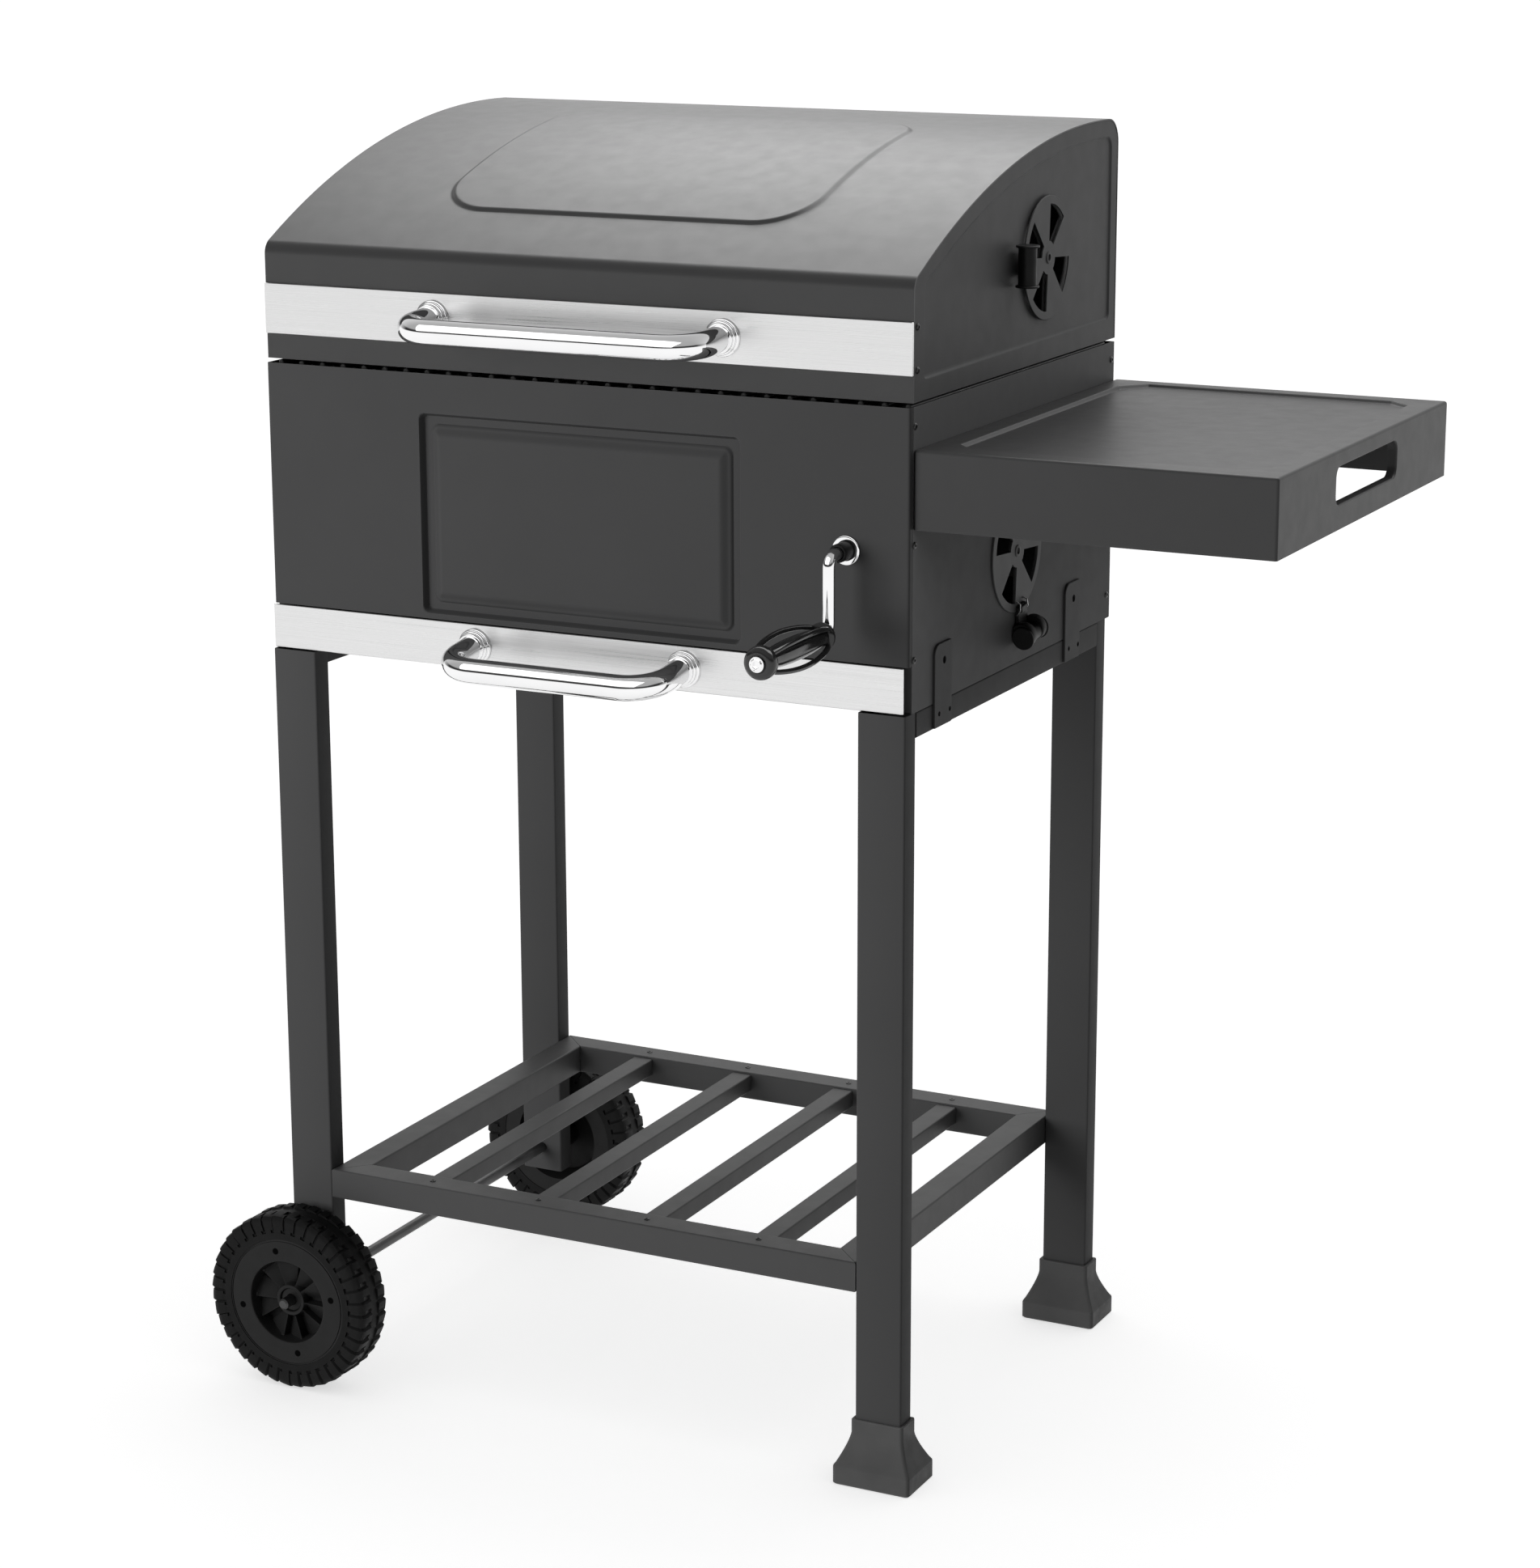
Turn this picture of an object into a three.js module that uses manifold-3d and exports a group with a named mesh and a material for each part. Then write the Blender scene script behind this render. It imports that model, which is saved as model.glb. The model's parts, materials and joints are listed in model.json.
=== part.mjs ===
// Charcoal trolley grill: a sheet-steel firebox with a hinged lid on a four-legged stand, with a
// side table, an ash drawer, a crank that raises the charcoal pan, a slatted shelf and two wheels.
// Millimetres, +Z up, +X to the side table, -Y to the cook. All sizes are worked out in the
// firebox frame (X = 0 and Y = 0 at the firebox centre, Z = 0 on the ground), and the finished
// group is moved so that its origin is the bottom centre of its bounding box.

import * as THREE from "three";
import { mergeVertices } from "three/addons/utils/BufferGeometryUtils.js";
import Module from "manifold-3d";

const wasm = await Module();
wasm.setup();

// ---------------------------------------------------------------- driving dimensions

const GAP = 0.3; // between pieces that touch
const RUNNING_GAP = 0.4; // round a shaft, rod or pin that turns or slides

// Firebox
const BOX_WIDTH = 600;
const BOX_DEPTH = 432;
const BOX_HEIGHT = 246.8;
const BOX_BOTTOM = 664.5;
const BOX_SHEET = 1.2;
const BOX_LEDGE = 16; // turned-in ledge that carries the cooking grates
const LEDGE_DROP = 4; // ledge below the firebox rim
const PANEL_SIDE_INSET = 149.5; // pressed rectangle from the firebox sides
const PANEL_TOP_INSET = 33.1; // from the firebox rim
const PANEL_RISE = 5; // above the drawer opening
const PANEL_BORDER = 9; // width of the pressed border
const PANEL_BEVEL = 10; // slope from the border up to the raised middle
const PANEL_DEPTH = 4;

// Ash drawer
const DRAWER_HEIGHT = 38.7; // opening under the front panel
const DRAWER_HEADROOM = 5; // tray below the top of the opening
const DRAWER_SIDE_ROOM = 38.8; // tray to the firebox side
const DRAWER_BACK_ROOM = 22.8; // tray to the firebox back
const DRAWER_WALL = 28;
const DRAWER_SHEET = 1;
const DRAWER_LIP = 10;
const RUNNER_HEIGHT = 16;
const RUNNER_SIDE_GAP = 3; // runner to the tray's side
const RUNNER_END_ROOM = 14.8; // runner ends to the firebox front and back
const TRIM_THICKNESS = 1.6;
const TRIM_MARGIN = 0.5; // strip inside the opening's edges
const TRIM_RIGHT_INSET = 4; // strip short of the firebox side at the crank end
const FACE_MARGIN = 1; // drawer face behind the strip, inside its edges

// Legs, feet and rails
const LEG_WIDTH = 42;
const LEG_DEPTH = 21;
const LEG_WALL = 1.5;
const LEG_INSET = 0.5; // from the firebox side
const LEG_PROUD = 5; // front legs ahead of the firebox front
const LEG_BACK_INSET = 7.2;
const RAIL_HEIGHT = 21.7;
const RAIL_WIDTH = 21;
const FOOT_WIDTH = 70.8;
const FOOT_DEPTH = 51.6;
const FOOT_BASE = 16.5; // straight part of the foot
const FOOT_NECK = 45; // where the flare meets the collar
const FOOT_HEIGHT = 56;
const FOOT_WALL = 3;
const FOOT_SOCKET = 20; // height of the leg end above the ground
const FOOT_CORNER = 2.5;
const FOOT_FLARE = 1.35; // exponent of the hollow flare
const BRACKET_WIDTH = 34;
const BRACKET_HEIGHT = 69;
const BRACKET_THICKNESS = 1.8;
const BRACKET_CORNER = 7;
const BRACKET_INSET = 64; // bracket centre from the firebox front
const BRACKET_BACK_INSET = 91.5; // bracket centre from the firebox back

// Shelf
const SHELF_TOP = 194.7;
const SHELF_RAIL = 26.7;
const SHELF_WALL = 1.5;
const SLAT_WIDTH = 20;
const SLAT_HEIGHT = 16;
const SLAT_WALL = 1.2;
const SLAT_DROP = 2; // slats below the top of the rails
const SLAT_COUNT = 4;
const SLAT_PITCH = 107;

// Wheels
const WHEEL_RADIUS = 81.4;
const WHEEL_WIDTH = 41.5;
const WHEEL_RIM_RADIUS = 58;
const WHEEL_CENTRE_RADIUS = 37;
const WHEEL_RECESS = 14; // depth of the dished centre
const WHEEL_WEB = 6;
const WHEEL_HUB_RADIUS = 13;
const WHEEL_CHAMFER = 4;
const WHEEL_RIM_INSET = 1; // rim faces inside the tread's width
const WHEEL_CLEARANCE = 6.6; // wheel to leg
const AXLE_RADIUS = 5;
const AXLE_STUB = 5; // axle beyond the tread
const LEG_BELOW_AXLE = 23;
const NUT_RADIUS = 9;
const NUT_HEIGHT = 6;

// Side table
const TABLE_WIDTH = 301.5;
const TABLE_DROP = 33.6; // table top below the firebox rim
const TABLE_SKIRT = 63.7;
const TABLE_FRONT_INSET = 6;
const TABLE_BACK_PROUD = 4.3;
const TABLE_SLOT_LENGTH = 157;
const TABLE_SLOT_HEIGHT = 33;
const TABLE_SLOT_RISE = 18.7; // slot bottom above the skirt edge
const TABLE_SLOT_CORNER = 10;

// Lid
const LID_OVERHANG = 1; // lid beyond each side of the firebox
const LID_SHEET = 1.2;
const LID_CLEARANCE = 3.4; // lid edge above the firebox rim
const LID_FRONT_INSET = 4;
const LID_BACK_INSET = 2;
const LID_HEIGHT = 191.9;
const LID_FRONT_HEIGHT = 95.5; // lid edge to the front shoulder
const LID_CREST_INSET = 49; // crest of the lid from its back
const LID_SHOULDER_RADIUS = 13;
const LID_BACK_RADIUS = 22;
const STRIP_HEIGHT = 42.6;
const STRIP_RISE = 21.2; // strip above the lid edge
const STRIP_THICKNESS = 2.3;

// Tube handles
const HANDLE_RADIUS = 10.8;
const HANDLE_STANDOFF = 57;
const HANDLE_BEND = 30;
const LID_HANDLE_SPAN = 270;
const LID_HANDLE_DROOP = 3; // bar below the feet
const DRAWER_HANDLE_SPAN = 198;
const DRAWER_HANDLE_DROOP = 7;
const ROSETTE_RADIUS = 15.5;
const ROSETTE_HEIGHT = 9;
const ROSETTE_STEPS = [[0, 0.35], [2, 0.7], [3.5, 1]]; // inset from the radius, share of the height

// Hinges
const HINGE_INSET = 120; // hinge middle from the firebox side
const HINGE_WIDTH = 56;
const HINGE_LEAF = 32;
const HINGE_SHEET = 1.5;
const HINGE_RISE = 3; // hinge arm above the lid edge
const KNUCKLE_RADIUS = 4.6;
const PIN_RADIUS = 2.5;
const PIN_BEHIND = 6.5; // pin axis behind the firebox back
const PIN_ABOVE = 1.7; // pin axis above the firebox rim

// Dampers
const DAMPER_RADIUS = 52;
const DAMPER_SHEET = 1.2;
const DAMPER_PORTS = 4;
const PORT_INNER = 14;
const PORT_OUTER = 45;
const PORT_ANGLE = 42; // degrees
const PORT_FIRST_ANGLE = 65; // middle of the first port, from the back towards the top
const LID_DAMPER_INSET = 158.2; // from the lid's back
const LID_DAMPER_RISE = 86.4; // above the lid edge
const BOX_DAMPER_Y = 0;
const BOX_DAMPER_DROP = 0.5; // disc's top below the side table's skirt
const GRIP_ROLL = 8.5; // radius of the damper grip's roll
const GRIP_LENGTH = 33;
const LID_GRIP_REACH = 14; // roll axis beyond the disc's edge
const BOX_GRIP_REACH = 20;
const GRIP_NECK = 18;
const GRIP_NECK_THICKNESS = 2.4;
const GRIP_OVERLAP = 6; // neck over the disc's edge
const GRIP_FLANGE = 1.5; // flanges beyond the roll
const GRIP_FLANGE_THICKNESS = 2;

// Crank and charcoal lift
const CRANK_INSET = 55; // crank axis from the firebox side
const CRANK_RISE = 129.8; // crank axis above the firebox bottom
const CRANK_RADIUS = 5.2;
const CRANK_ARM = 61.5;
const CRANK_REACH = 32.5; // crank arm ahead of the firebox front
const CRANK_BEND = 9;
const RING_RADIUS = 12;
const RING_THICKNESS = 1.6;
const BUSH_RADIUS = 7.6;
const BUSH_REACH = 17;
const BUSH_INSIDE = 6; // bush behind the front sheet
const KNOB_LENGTH = 116;
const KNOB_CAP_RADIUS = 13.5;
const KNOB_CAP_LENGTH = 9;
const KNOB_CAP_EDGE = 3; // chamfer of the front cap
const KNOB_COLLAR_LENGTH = 5; // behind the core
const KNOB_CORE_WALL = 1.4; // core's end over its bore
const KNOB_CORE_RADIUS = 8.5;
const KNOB_RIB_RADIUS = 19; // outside of the arched ribs
const KNOB_RIB_WIDTH = 4;
const KNOB_RIB_THICKNESS = 3;
const KNOB_RIBS = 4;
const KNOB_CLEARANCE = 4; // crank arm to grip
const BOLT_RADIUS = 6;
const BOLT_HEIGHT = 3;
const BOLT_SOCKET_RADIUS = 2.6;
const BOLT_SOCKET_DEPTH = 2;
const LIFT_TRAVEL = 60;
const LIFT_RAMP_SPARE = 8; // ramp beyond the travel
const LIFT_BEAM = 12;
const LIFT_BEAM_INSET = 30; // side beam's middle from the screw axis
const LIFT_RAMP_WIDTH = 14;
const LIFT_LENGTH = 270;
const NUT_BLOCK = 20;
const PAN_SIDE_ROOM = 12.8; // pan to the firebox side
const PAN_END_ROOM = 16.8; // pan to the firebox front and back
const PAN_WALL = 34;
const PAN_SHEET = 1.5;
const PAN_CLEARANCE = 2; // pan bottom above the nut block
const PAN_FOOT = 12;
const PAN_SLOTS = 9;
const PAN_SLOT_WIDTH = 10;
const PAN_SLOT_CORNER = 4;
const PAN_SLOT_MARGIN = 40; // slots from the side beams and the pan's ends

// Cooking grates
const GRATE_BARS = 15;
const GRATE_ROD = 2.5; // radius
const GRATE_END_ROOM = 9.8; // bar ends to the firebox front and back
const GRATE_CROSS_INSET = 20; // outer cross rods from the bar ends

// ---------------------------------------------------------------- derived places

const BOX_X = BOX_WIDTH / 2;
const BOX_Y = BOX_DEPTH / 2;
const BOX_TOP = BOX_BOTTOM + BOX_HEIGHT;
const INSIDE_X = BOX_X - BOX_SHEET;
const INSIDE_Y = BOX_Y - BOX_SHEET;
const PANEL_BOTTOM = BOX_BOTTOM + DRAWER_HEIGHT;
const DRAWER_TOP = PANEL_BOTTOM - DRAWER_HEADROOM;
const DRAWER_MIDDLE = BOX_BOTTOM + DRAWER_HEIGHT / 2;
const DRAWER_X = INSIDE_X - DRAWER_SIDE_ROOM;
const LEDGE_TOP = BOX_TOP - LEDGE_DROP;
const LEG_OUT = BOX_X - LEG_INSET;
const LEG_IN = LEG_OUT - LEG_WIDTH;
const LEG_X = (LEG_OUT + LEG_IN) / 2;
const LEG_FRONT = -BOX_Y - LEG_PROUD;
const LEG_BACK = BOX_Y - LEG_BACK_INSET;
const LEG_TOP = BOX_BOTTOM - GAP;
const LID_BOTTOM = BOX_TOP + LID_CLEARANCE;
const LID_TOP = LID_BOTTOM + LID_HEIGHT;
const LID_X = BOX_X + LID_OVERHANG;
const LID_FRONT = -BOX_Y + LID_FRONT_INSET;
const LID_BACK = BOX_Y - LID_BACK_INSET;
const TABLE_TOP = BOX_TOP - TABLE_DROP;
const LID_DAMPER_Y = LID_BACK - LID_DAMPER_INSET;
const LID_DAMPER_Z = LID_BOTTOM + LID_DAMPER_RISE;
const BOX_DAMPER_Z = TABLE_TOP - TABLE_SKIRT - BOX_DAMPER_DROP - DAMPER_RADIUS;
const CRANK_X = BOX_X - CRANK_INSET;
const CRANK_Z = BOX_BOTTOM + CRANK_RISE;
const LIFT_X = CRANK_X - LIFT_BEAM_INSET;
const PIN_Y = BOX_Y + PIN_BEHIND;
const PIN_Z = BOX_TOP + PIN_ABOVE;
const SHELF_X = LEG_IN - GAP;

// ---------------------------------------------------------------- materials

const finish = (color, roughness, metalness) =>
  new THREE.MeshStandardMaterial({ color, roughness, metalness });
const PAINT = () => finish(0x434343, 0.45, 0.3);
const LEG_PAINT = () => finish(0x4a4a4a, 0.5, 0.3);
const TABLE_PAINT = () => finish(0x4d4d4d, 0.5, 0.3);
const ENAMEL = () => finish(0x1c1c1c, 0.4, 0.2);
const STAINLESS = () => finish(0xd8d8d8, 0.3, 1);
const CHROME = () => finish(0xf0f0f0, 0.06, 1);
const ZINC = () => finish(0x9a9a9a, 0.4, 1);
const BLACK_PLASTIC = () => finish(0x1c1c1c, 0.5, 0);
const GLOSS_PLASTIC = () => finish(0x0e0e0e, 0.15, 0);

// ---------------------------------------------------------------- solids

// A geometry as a manifold solid, with its faces turned outwards.
function solidOf(geometry) {
  const bare = geometry.index ? geometry.toNonIndexed() : geometry.clone();
  const points = new THREE.BufferGeometry().setAttribute("position", bare.getAttribute("position"));
  const merged = mergeVertices(points, 1e-4);
  const triVerts = new Uint32Array(merged.index.array);
  const vertProperties = merged.attributes.position.array;
  const solid = new wasm.Manifold(new wasm.Mesh({ numProp: 3, vertProperties, triVerts }));
  if (solid.volume() > 0) return solid;
  for (let i = 0; i < triVerts.length; i += 3) {
    [triVerts[i + 1], triVerts[i + 2]] = [triVerts[i + 2], triVerts[i + 1]];
  }
  return new wasm.Manifold(new wasm.Mesh({ numProp: 3, vertProperties, triVerts }));
}

function geometryOf(solid) {
  const mesh = solid.getMesh();
  const stride = mesh.numProp;
  const position = new Float32Array(mesh.numVert * 3);
  for (let i = 0; i < mesh.numVert; i++) {
    position.set(mesh.vertProperties.subarray(i * stride, i * stride + 3), i * 3);
  }
  const geometry = new THREE.BufferGeometry();
  geometry.setAttribute("position", new THREE.BufferAttribute(position, 3));
  geometry.setIndex(new THREE.BufferAttribute(new Uint32Array(mesh.triVerts), 1));
  return geometry;
}

function join(...geometries) {
  return geometryOf(geometries.map(solidOf).reduce((a, b) => a.add(b)));
}

function cut(body, ...tools) {
  return geometryOf(tools.map(solidOf).reduce((a, b) => a.subtract(b), solidOf(body)));
}

function block(x0, x1, y0, y1, z0, z1) {
  const geometry = new THREE.BoxGeometry(x1 - x0, y1 - y0, z1 - z0);
  return geometry.translate((x0 + x1) / 2, (y0 + y1) / 2, (z0 + z1) / 2);
}

// Turns a geometry made along +Z so that it lies along the named axis. The outline's first
// coordinate becomes Y (axis X), X (axis Y) or X (axis Z), and its second one Z, Z or Y.
function along(axis, geometry) {
  const turn = new THREE.Matrix4();
  const [X, Y, Z] = [[1, 0, 0], [0, 1, 0], [0, 0, 1]].map((v) => new THREE.Vector3(...v));
  if (axis === "x") turn.makeBasis(Y, Z, X);
  if (axis === "y") turn.makeBasis(X, Z, Y.negate());
  return geometry.applyMatrix4(turn);
}

// An outline extruded along an axis, from one place on it to another.
function prism(axis, shape, from, to, curveSegments = 8) {
  const depth = to - from;
  const geometry = new THREE.ExtrudeGeometry(shape, { depth, curveSegments, bevelEnabled: false });
  geometry.translate(0, 0, axis === "y" ? -to : from);
  return along(axis, geometry);
}

// A round bar along an axis at (a, b), the two other coordinates in X, Y, Z order.
function rod(axis, a, b, radius, from, to, sides = 16) {
  const shape = new THREE.Shape();
  for (let i = 0; i < sides; i++) {
    const angle = ((i + 0.5) / sides) * 2 * Math.PI;
    const [u, v] = [a + radius * Math.cos(angle), b + radius * Math.sin(angle)];
    if (i === 0) shape.moveTo(u, v);
    else shape.lineTo(u, v);
  }
  return prism(axis, shape, from, to);
}

// A turned piece along an axis: the profile is a closed list of [radius, distance] pairs.
function turned(axis, profile, a, b, segments = 32) {
  const points = [...profile, profile[0]].map(([r, d]) => new THREE.Vector2(r, d));
  const geometry = new THREE.LatheGeometry(points, segments);
  if (axis === "x") return geometry.rotateZ(-Math.PI / 2).translate(0, a, b);
  return geometry.translate(a, 0, b);
}

function polygon(points) {
  return new THREE.Shape(points.map(([u, v]) => new THREE.Vector2(u, v)));
}

function roundedRectangle(u0, v0, u1, v1, radius, Kind = THREE.Shape) {
  const path = new Kind();
  path.moveTo(u0 + radius, v0);
  path.lineTo(u1 - radius, v0);
  path.absarc(u1 - radius, v0 + radius, radius, -Math.PI / 2, 0, false);
  path.lineTo(u1, v1 - radius);
  path.absarc(u1 - radius, v1 - radius, radius, 0, Math.PI / 2, false);
  path.lineTo(u0 + radius, v1);
  path.absarc(u0 + radius, v1 - radius, radius, Math.PI / 2, Math.PI, false);
  path.lineTo(u0, v0 + radius);
  path.absarc(u0 + radius, v0 + radius, radius, Math.PI, Math.PI * 1.5, false);
  return path;
}

// A path through given points: the extrusion takes one section at each of them.
class Polyline extends THREE.Curve {
  constructor(points) {
    super();
    this.points = points;
  }
  getPoint(t, target = new THREE.Vector3()) {
    const last = this.points.length - 1;
    const i = Math.min(Math.floor(t * last + 1e-6), last - 1);
    return target.lerpVectors(this.points[i], this.points[i + 1], t * last - i);
  }
  getPointAt(u, target) {
    return this.getPoint(u, target);
  }
  getTangentAt(u, target = new THREE.Vector3()) {
    const last = this.points.length - 1;
    const i = Math.round(u * last);
    const ahead = this.points[Math.min(i + 1, last)];
    const behind = this.points[Math.max(i - 1, 0)];
    return target.subVectors(ahead, behind).normalize();
  }
}

// The corners of a path rounded to a bend radius, with a few points round each bend.
function rounded(corners, bend, steps = 6) {
  const path = [corners[0]];
  for (let i = 1; i < corners.length - 1; i++) {
    const back = corners[i - 1].clone().sub(corners[i]).normalize();
    const on = corners[i + 1].clone().sub(corners[i]).normalize();
    const half = back.angleTo(on) / 2;
    const centre = back.clone().add(on).normalize();
    centre.multiplyScalar(bend / Math.sin(half)).add(corners[i]);
    const start = corners[i].clone().addScaledVector(back, bend / Math.tan(half)).sub(centre);
    const axis = back.clone().cross(on).normalize();
    for (let k = 0; k <= steps; k++) {
      const angle = -(Math.PI - 2 * half) * (k / steps);
      path.push(start.clone().applyAxisAngle(axis, angle).add(centre));
    }
  }
  return [...path, corners.at(-1)];
}

function tube(points, radius, sides = 12) {
  const shape = new THREE.Shape();
  for (let i = 0; i < sides; i++) {
    const angle = (i / sides) * 2 * Math.PI;
    const [u, v] = [radius * Math.cos(angle), radius * Math.sin(angle)];
    if (i === 0) shape.moveTo(u, v);
    else shape.lineTo(u, v);
  }
  const extrudePath = new Polyline(points);
  const steps = points.length - 1;
  return new THREE.ExtrudeGeometry(shape, { extrudePath, steps, bevelEnabled: false });
}

// A solid through closed convex loops of equal length, from the lowest up.
function loft(loops) {
  const count = loops[0].length;
  const position = loops.flat().flatMap((p) => [p.x, p.y, p.z]);
  const index = [];
  for (let k = 0; k + 1 < loops.length; k++) {
    for (let i = 0; i < count; i++) {
      const j = (i + 1) % count;
      const [a, b, c, d] = [k * count + i, k * count + j, (k + 1) * count + j, (k + 1) * count + i];
      index.push(a, b, c, a, c, d);
    }
  }
  const top = (loops.length - 1) * count;
  for (let i = 1; i + 1 < count; i++) {
    index.push(0, i + 1, i, top, top + i, top + i + 1);
  }
  const geometry = new THREE.BufferGeometry();
  geometry.setAttribute("position", new THREE.Float32BufferAttribute(position, 3));
  geometry.setIndex(index);
  return geometry;
}

const grill = new THREE.Group();

function add(name, geometry, material) {
  const mesh = new THREE.Mesh(geometryOf(solidOf(geometry)), material);
  mesh.name = name;
  grill.add(mesh);
}

// ---------------------------------------------------------------- stand

function squareTube(x0, x1, y0, y1, z0, z1, wall) {
  const bore = block(x0 + wall, x1 - wall, y0 + wall, y1 - wall, z0 - 1, z1 + 1);
  return cut(block(x0, x1, y0, y1, z0, z1), bore);
}

const AXLE_Z = WHEEL_RADIUS;
const SIDES = { left: -1, right: 1 };
const legSpan = (side) => (side === "left" ? [-LEG_OUT, -LEG_IN] : [LEG_IN, LEG_OUT]);
const LEG_Y = { front: [LEG_FRONT, LEG_FRONT + LEG_DEPTH], back: [LEG_BACK - LEG_DEPTH, LEG_BACK] };

function addLegs() {
  for (const side of Object.keys(SIDES)) {
    const bottom = side === "left" ? AXLE_Z - LEG_BELOW_AXLE : FOOT_SOCKET;
    for (const [end, [y0, y1]] of Object.entries(LEG_Y)) {
      const [x0, x1] = legSpan(side);
      let leg = squareTube(x0, x1, y0, y1, bottom, LEG_TOP, LEG_WALL);
      if (side === "left") {
        leg = cut(leg, rod("y", -LEG_X, AXLE_Z, AXLE_RADIUS + GAP, y0 - 1, y1 + 1));
      }
      add(`leg_${end}_${side}`, leg, LEG_PAINT());
    }
  }
}

// A rectangle with small corner radii, as a loop of points at one height.
function footLoop(halfX, halfY, z, centreY) {
  const shape = roundedRectangle(-halfX, -halfY, halfX, halfY, FOOT_CORNER);
  const points = shape.extractPoints(2).shape.slice(0, -1);
  return points.map((p) => new THREE.Vector3(LEG_X + p.x, centreY + p.y, z));
}

function addFeet() {
  const collarX = LEG_WIDTH / 2 + FOOT_WALL;
  const collarY = LEG_DEPTH / 2 + FOOT_WALL;
  for (const [end, [y0, y1]] of Object.entries(LEG_Y)) {
    const y = (y0 + y1) / 2;
    const loops = [footLoop(FOOT_WIDTH / 2, FOOT_DEPTH / 2, 0, y)];
    const steps = 5;
    for (let i = 0; i <= steps; i++) {
      const t = i / steps;
      const out = (1 - t) ** FOOT_FLARE;
      const z = FOOT_BASE + (FOOT_NECK - FOOT_BASE) * t;
      const halfX = collarX + (FOOT_WIDTH / 2 - collarX) * out;
      loops.push(footLoop(halfX, collarY + (FOOT_DEPTH / 2 - collarY) * out, z, y));
    }
    loops.push(footLoop(collarX, collarY, FOOT_HEIGHT, y));
    const [x0, x1] = legSpan("right");
    const socket = block(
      x0 - GAP, x1 + GAP, y0 - GAP, y1 + GAP, FOOT_SOCKET - GAP, FOOT_HEIGHT + 1,
    );
    add(`foot_${end}_right`, cut(loft(loops), socket), BLACK_PLASTIC());
  }
}

function addSideRails() {
  const y0 = LEG_FRONT + LEG_DEPTH + GAP;
  const y1 = LEG_BACK - LEG_DEPTH - GAP;
  const z0 = BOX_BOTTOM - RAIL_HEIGHT;
  for (const [side, sign] of Object.entries(SIDES)) {
    const [x0, x1] = sign < 0 ? [-BOX_X, RAIL_WIDTH - BOX_X] : [BOX_X - RAIL_WIDTH, BOX_X];
    const wall = LEG_WALL;
    const bore = block(x0 + wall, x1 - wall, y0 - 1, y1 + 1, z0 + wall, LEG_TOP - wall);
    add(`side_rail_${side}`, cut(block(x0, x1, y0, y1, z0, LEG_TOP), bore), LEG_PAINT());
  }
}

// Plates that tie the side rails to the firebox sides.
function addBrackets() {
  const z0 = BOX_BOTTOM - RAIL_HEIGHT + 1;
  const z1 = z0 + BRACKET_HEIGHT;
  const places = { front: BRACKET_INSET - BOX_Y, back: BOX_Y - BRACKET_BACK_INSET };
  for (const [side, sign] of Object.entries(SIDES)) {
    for (const [end, y] of Object.entries(places)) {
      const [y0, y1] = [y - BRACKET_WIDTH / 2, y + BRACKET_WIDTH / 2];
      const plate = roundedRectangle(y0, z0, y1, z1, BRACKET_CORNER);
      const near = BOX_X + GAP;
      const far = near + BRACKET_THICKNESS;
      const [x0, x1] = sign < 0 ? [-far, -near] : [near, far];
      add(`bracket_${end}_${side}`, prism("x", plate, x0, x1, 4), PAINT());
    }
  }
}

// Four square tubes with mitred corners, and slats between the front and back ones.
function addShelf() {
  const wall = SHELF_WALL;
  const [z0, z1] = [SHELF_TOP - SHELF_RAIL, SHELF_TOP];
  const corners = (x, front, back) => [[-x, front], [x, front], [x, back], [-x, back]];
  const frame = corners(SHELF_X, LEG_FRONT, LEG_BACK);
  const inFront = LEG_FRONT + SHELF_RAIL;
  const inBack = LEG_BACK - SHELF_RAIL;
  const inX = SHELF_X - SHELF_RAIL;
  const opening = corners(inX, inFront, inBack);
  const bores = {
    front: block(-BOX_X, BOX_X, LEG_FRONT + wall, inFront - wall, z0 + wall, z1 - wall),
    right: block(inX + wall, SHELF_X - wall, -BOX_Y * 2, BOX_Y * 2, z0 + wall, z1 - wall),
    back: block(-BOX_X, BOX_X, inBack + wall, LEG_BACK - wall, z0 + wall, z1 - wall),
    left: block(wall - SHELF_X, -inX - wall, -BOX_Y * 2, BOX_Y * 2, z0 + wall, z1 - wall),
  };
  Object.entries(bores).forEach(([side, bore], i) => {
    const j = (i + 1) % 4;
    // The side rails are a joint's gap shorter than the front and back ones.
    const shorten = side === "left" || side === "right" ? 2 * GAP : 0;
    const trim = ([x, y]) => [x, y - Math.sign(y) * shorten];
    const plan = polygon([frame[i], frame[j], opening[j], opening[i]].map(trim));
    add(`shelf_rail_${side}`, cut(prism("z", plan, z0, z1), bore), LEG_PAINT());
  });
  const top = SHELF_TOP - SLAT_DROP;
  const [y0, y1] = [inFront + GAP, inBack - GAP];
  for (let i = 0; i < SLAT_COUNT; i++) {
    const x = (i - (SLAT_COUNT - 1) / 2) * SLAT_PITCH;
    const [x0, x1, bottom] = [x - SLAT_WIDTH / 2, x + SLAT_WIDTH / 2, top - SLAT_HEIGHT];
    const w = SLAT_WALL;
    const bore = block(x0 + w, x1 - w, y0 - 1, y1 + 1, bottom + w, top - w);
    add(`shelf_slat_${i + 1}`, cut(block(x0, x1, y0, y1, bottom, top), bore), LEG_PAINT());
  }
}

// ---------------------------------------------------------------- wheels

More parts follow.
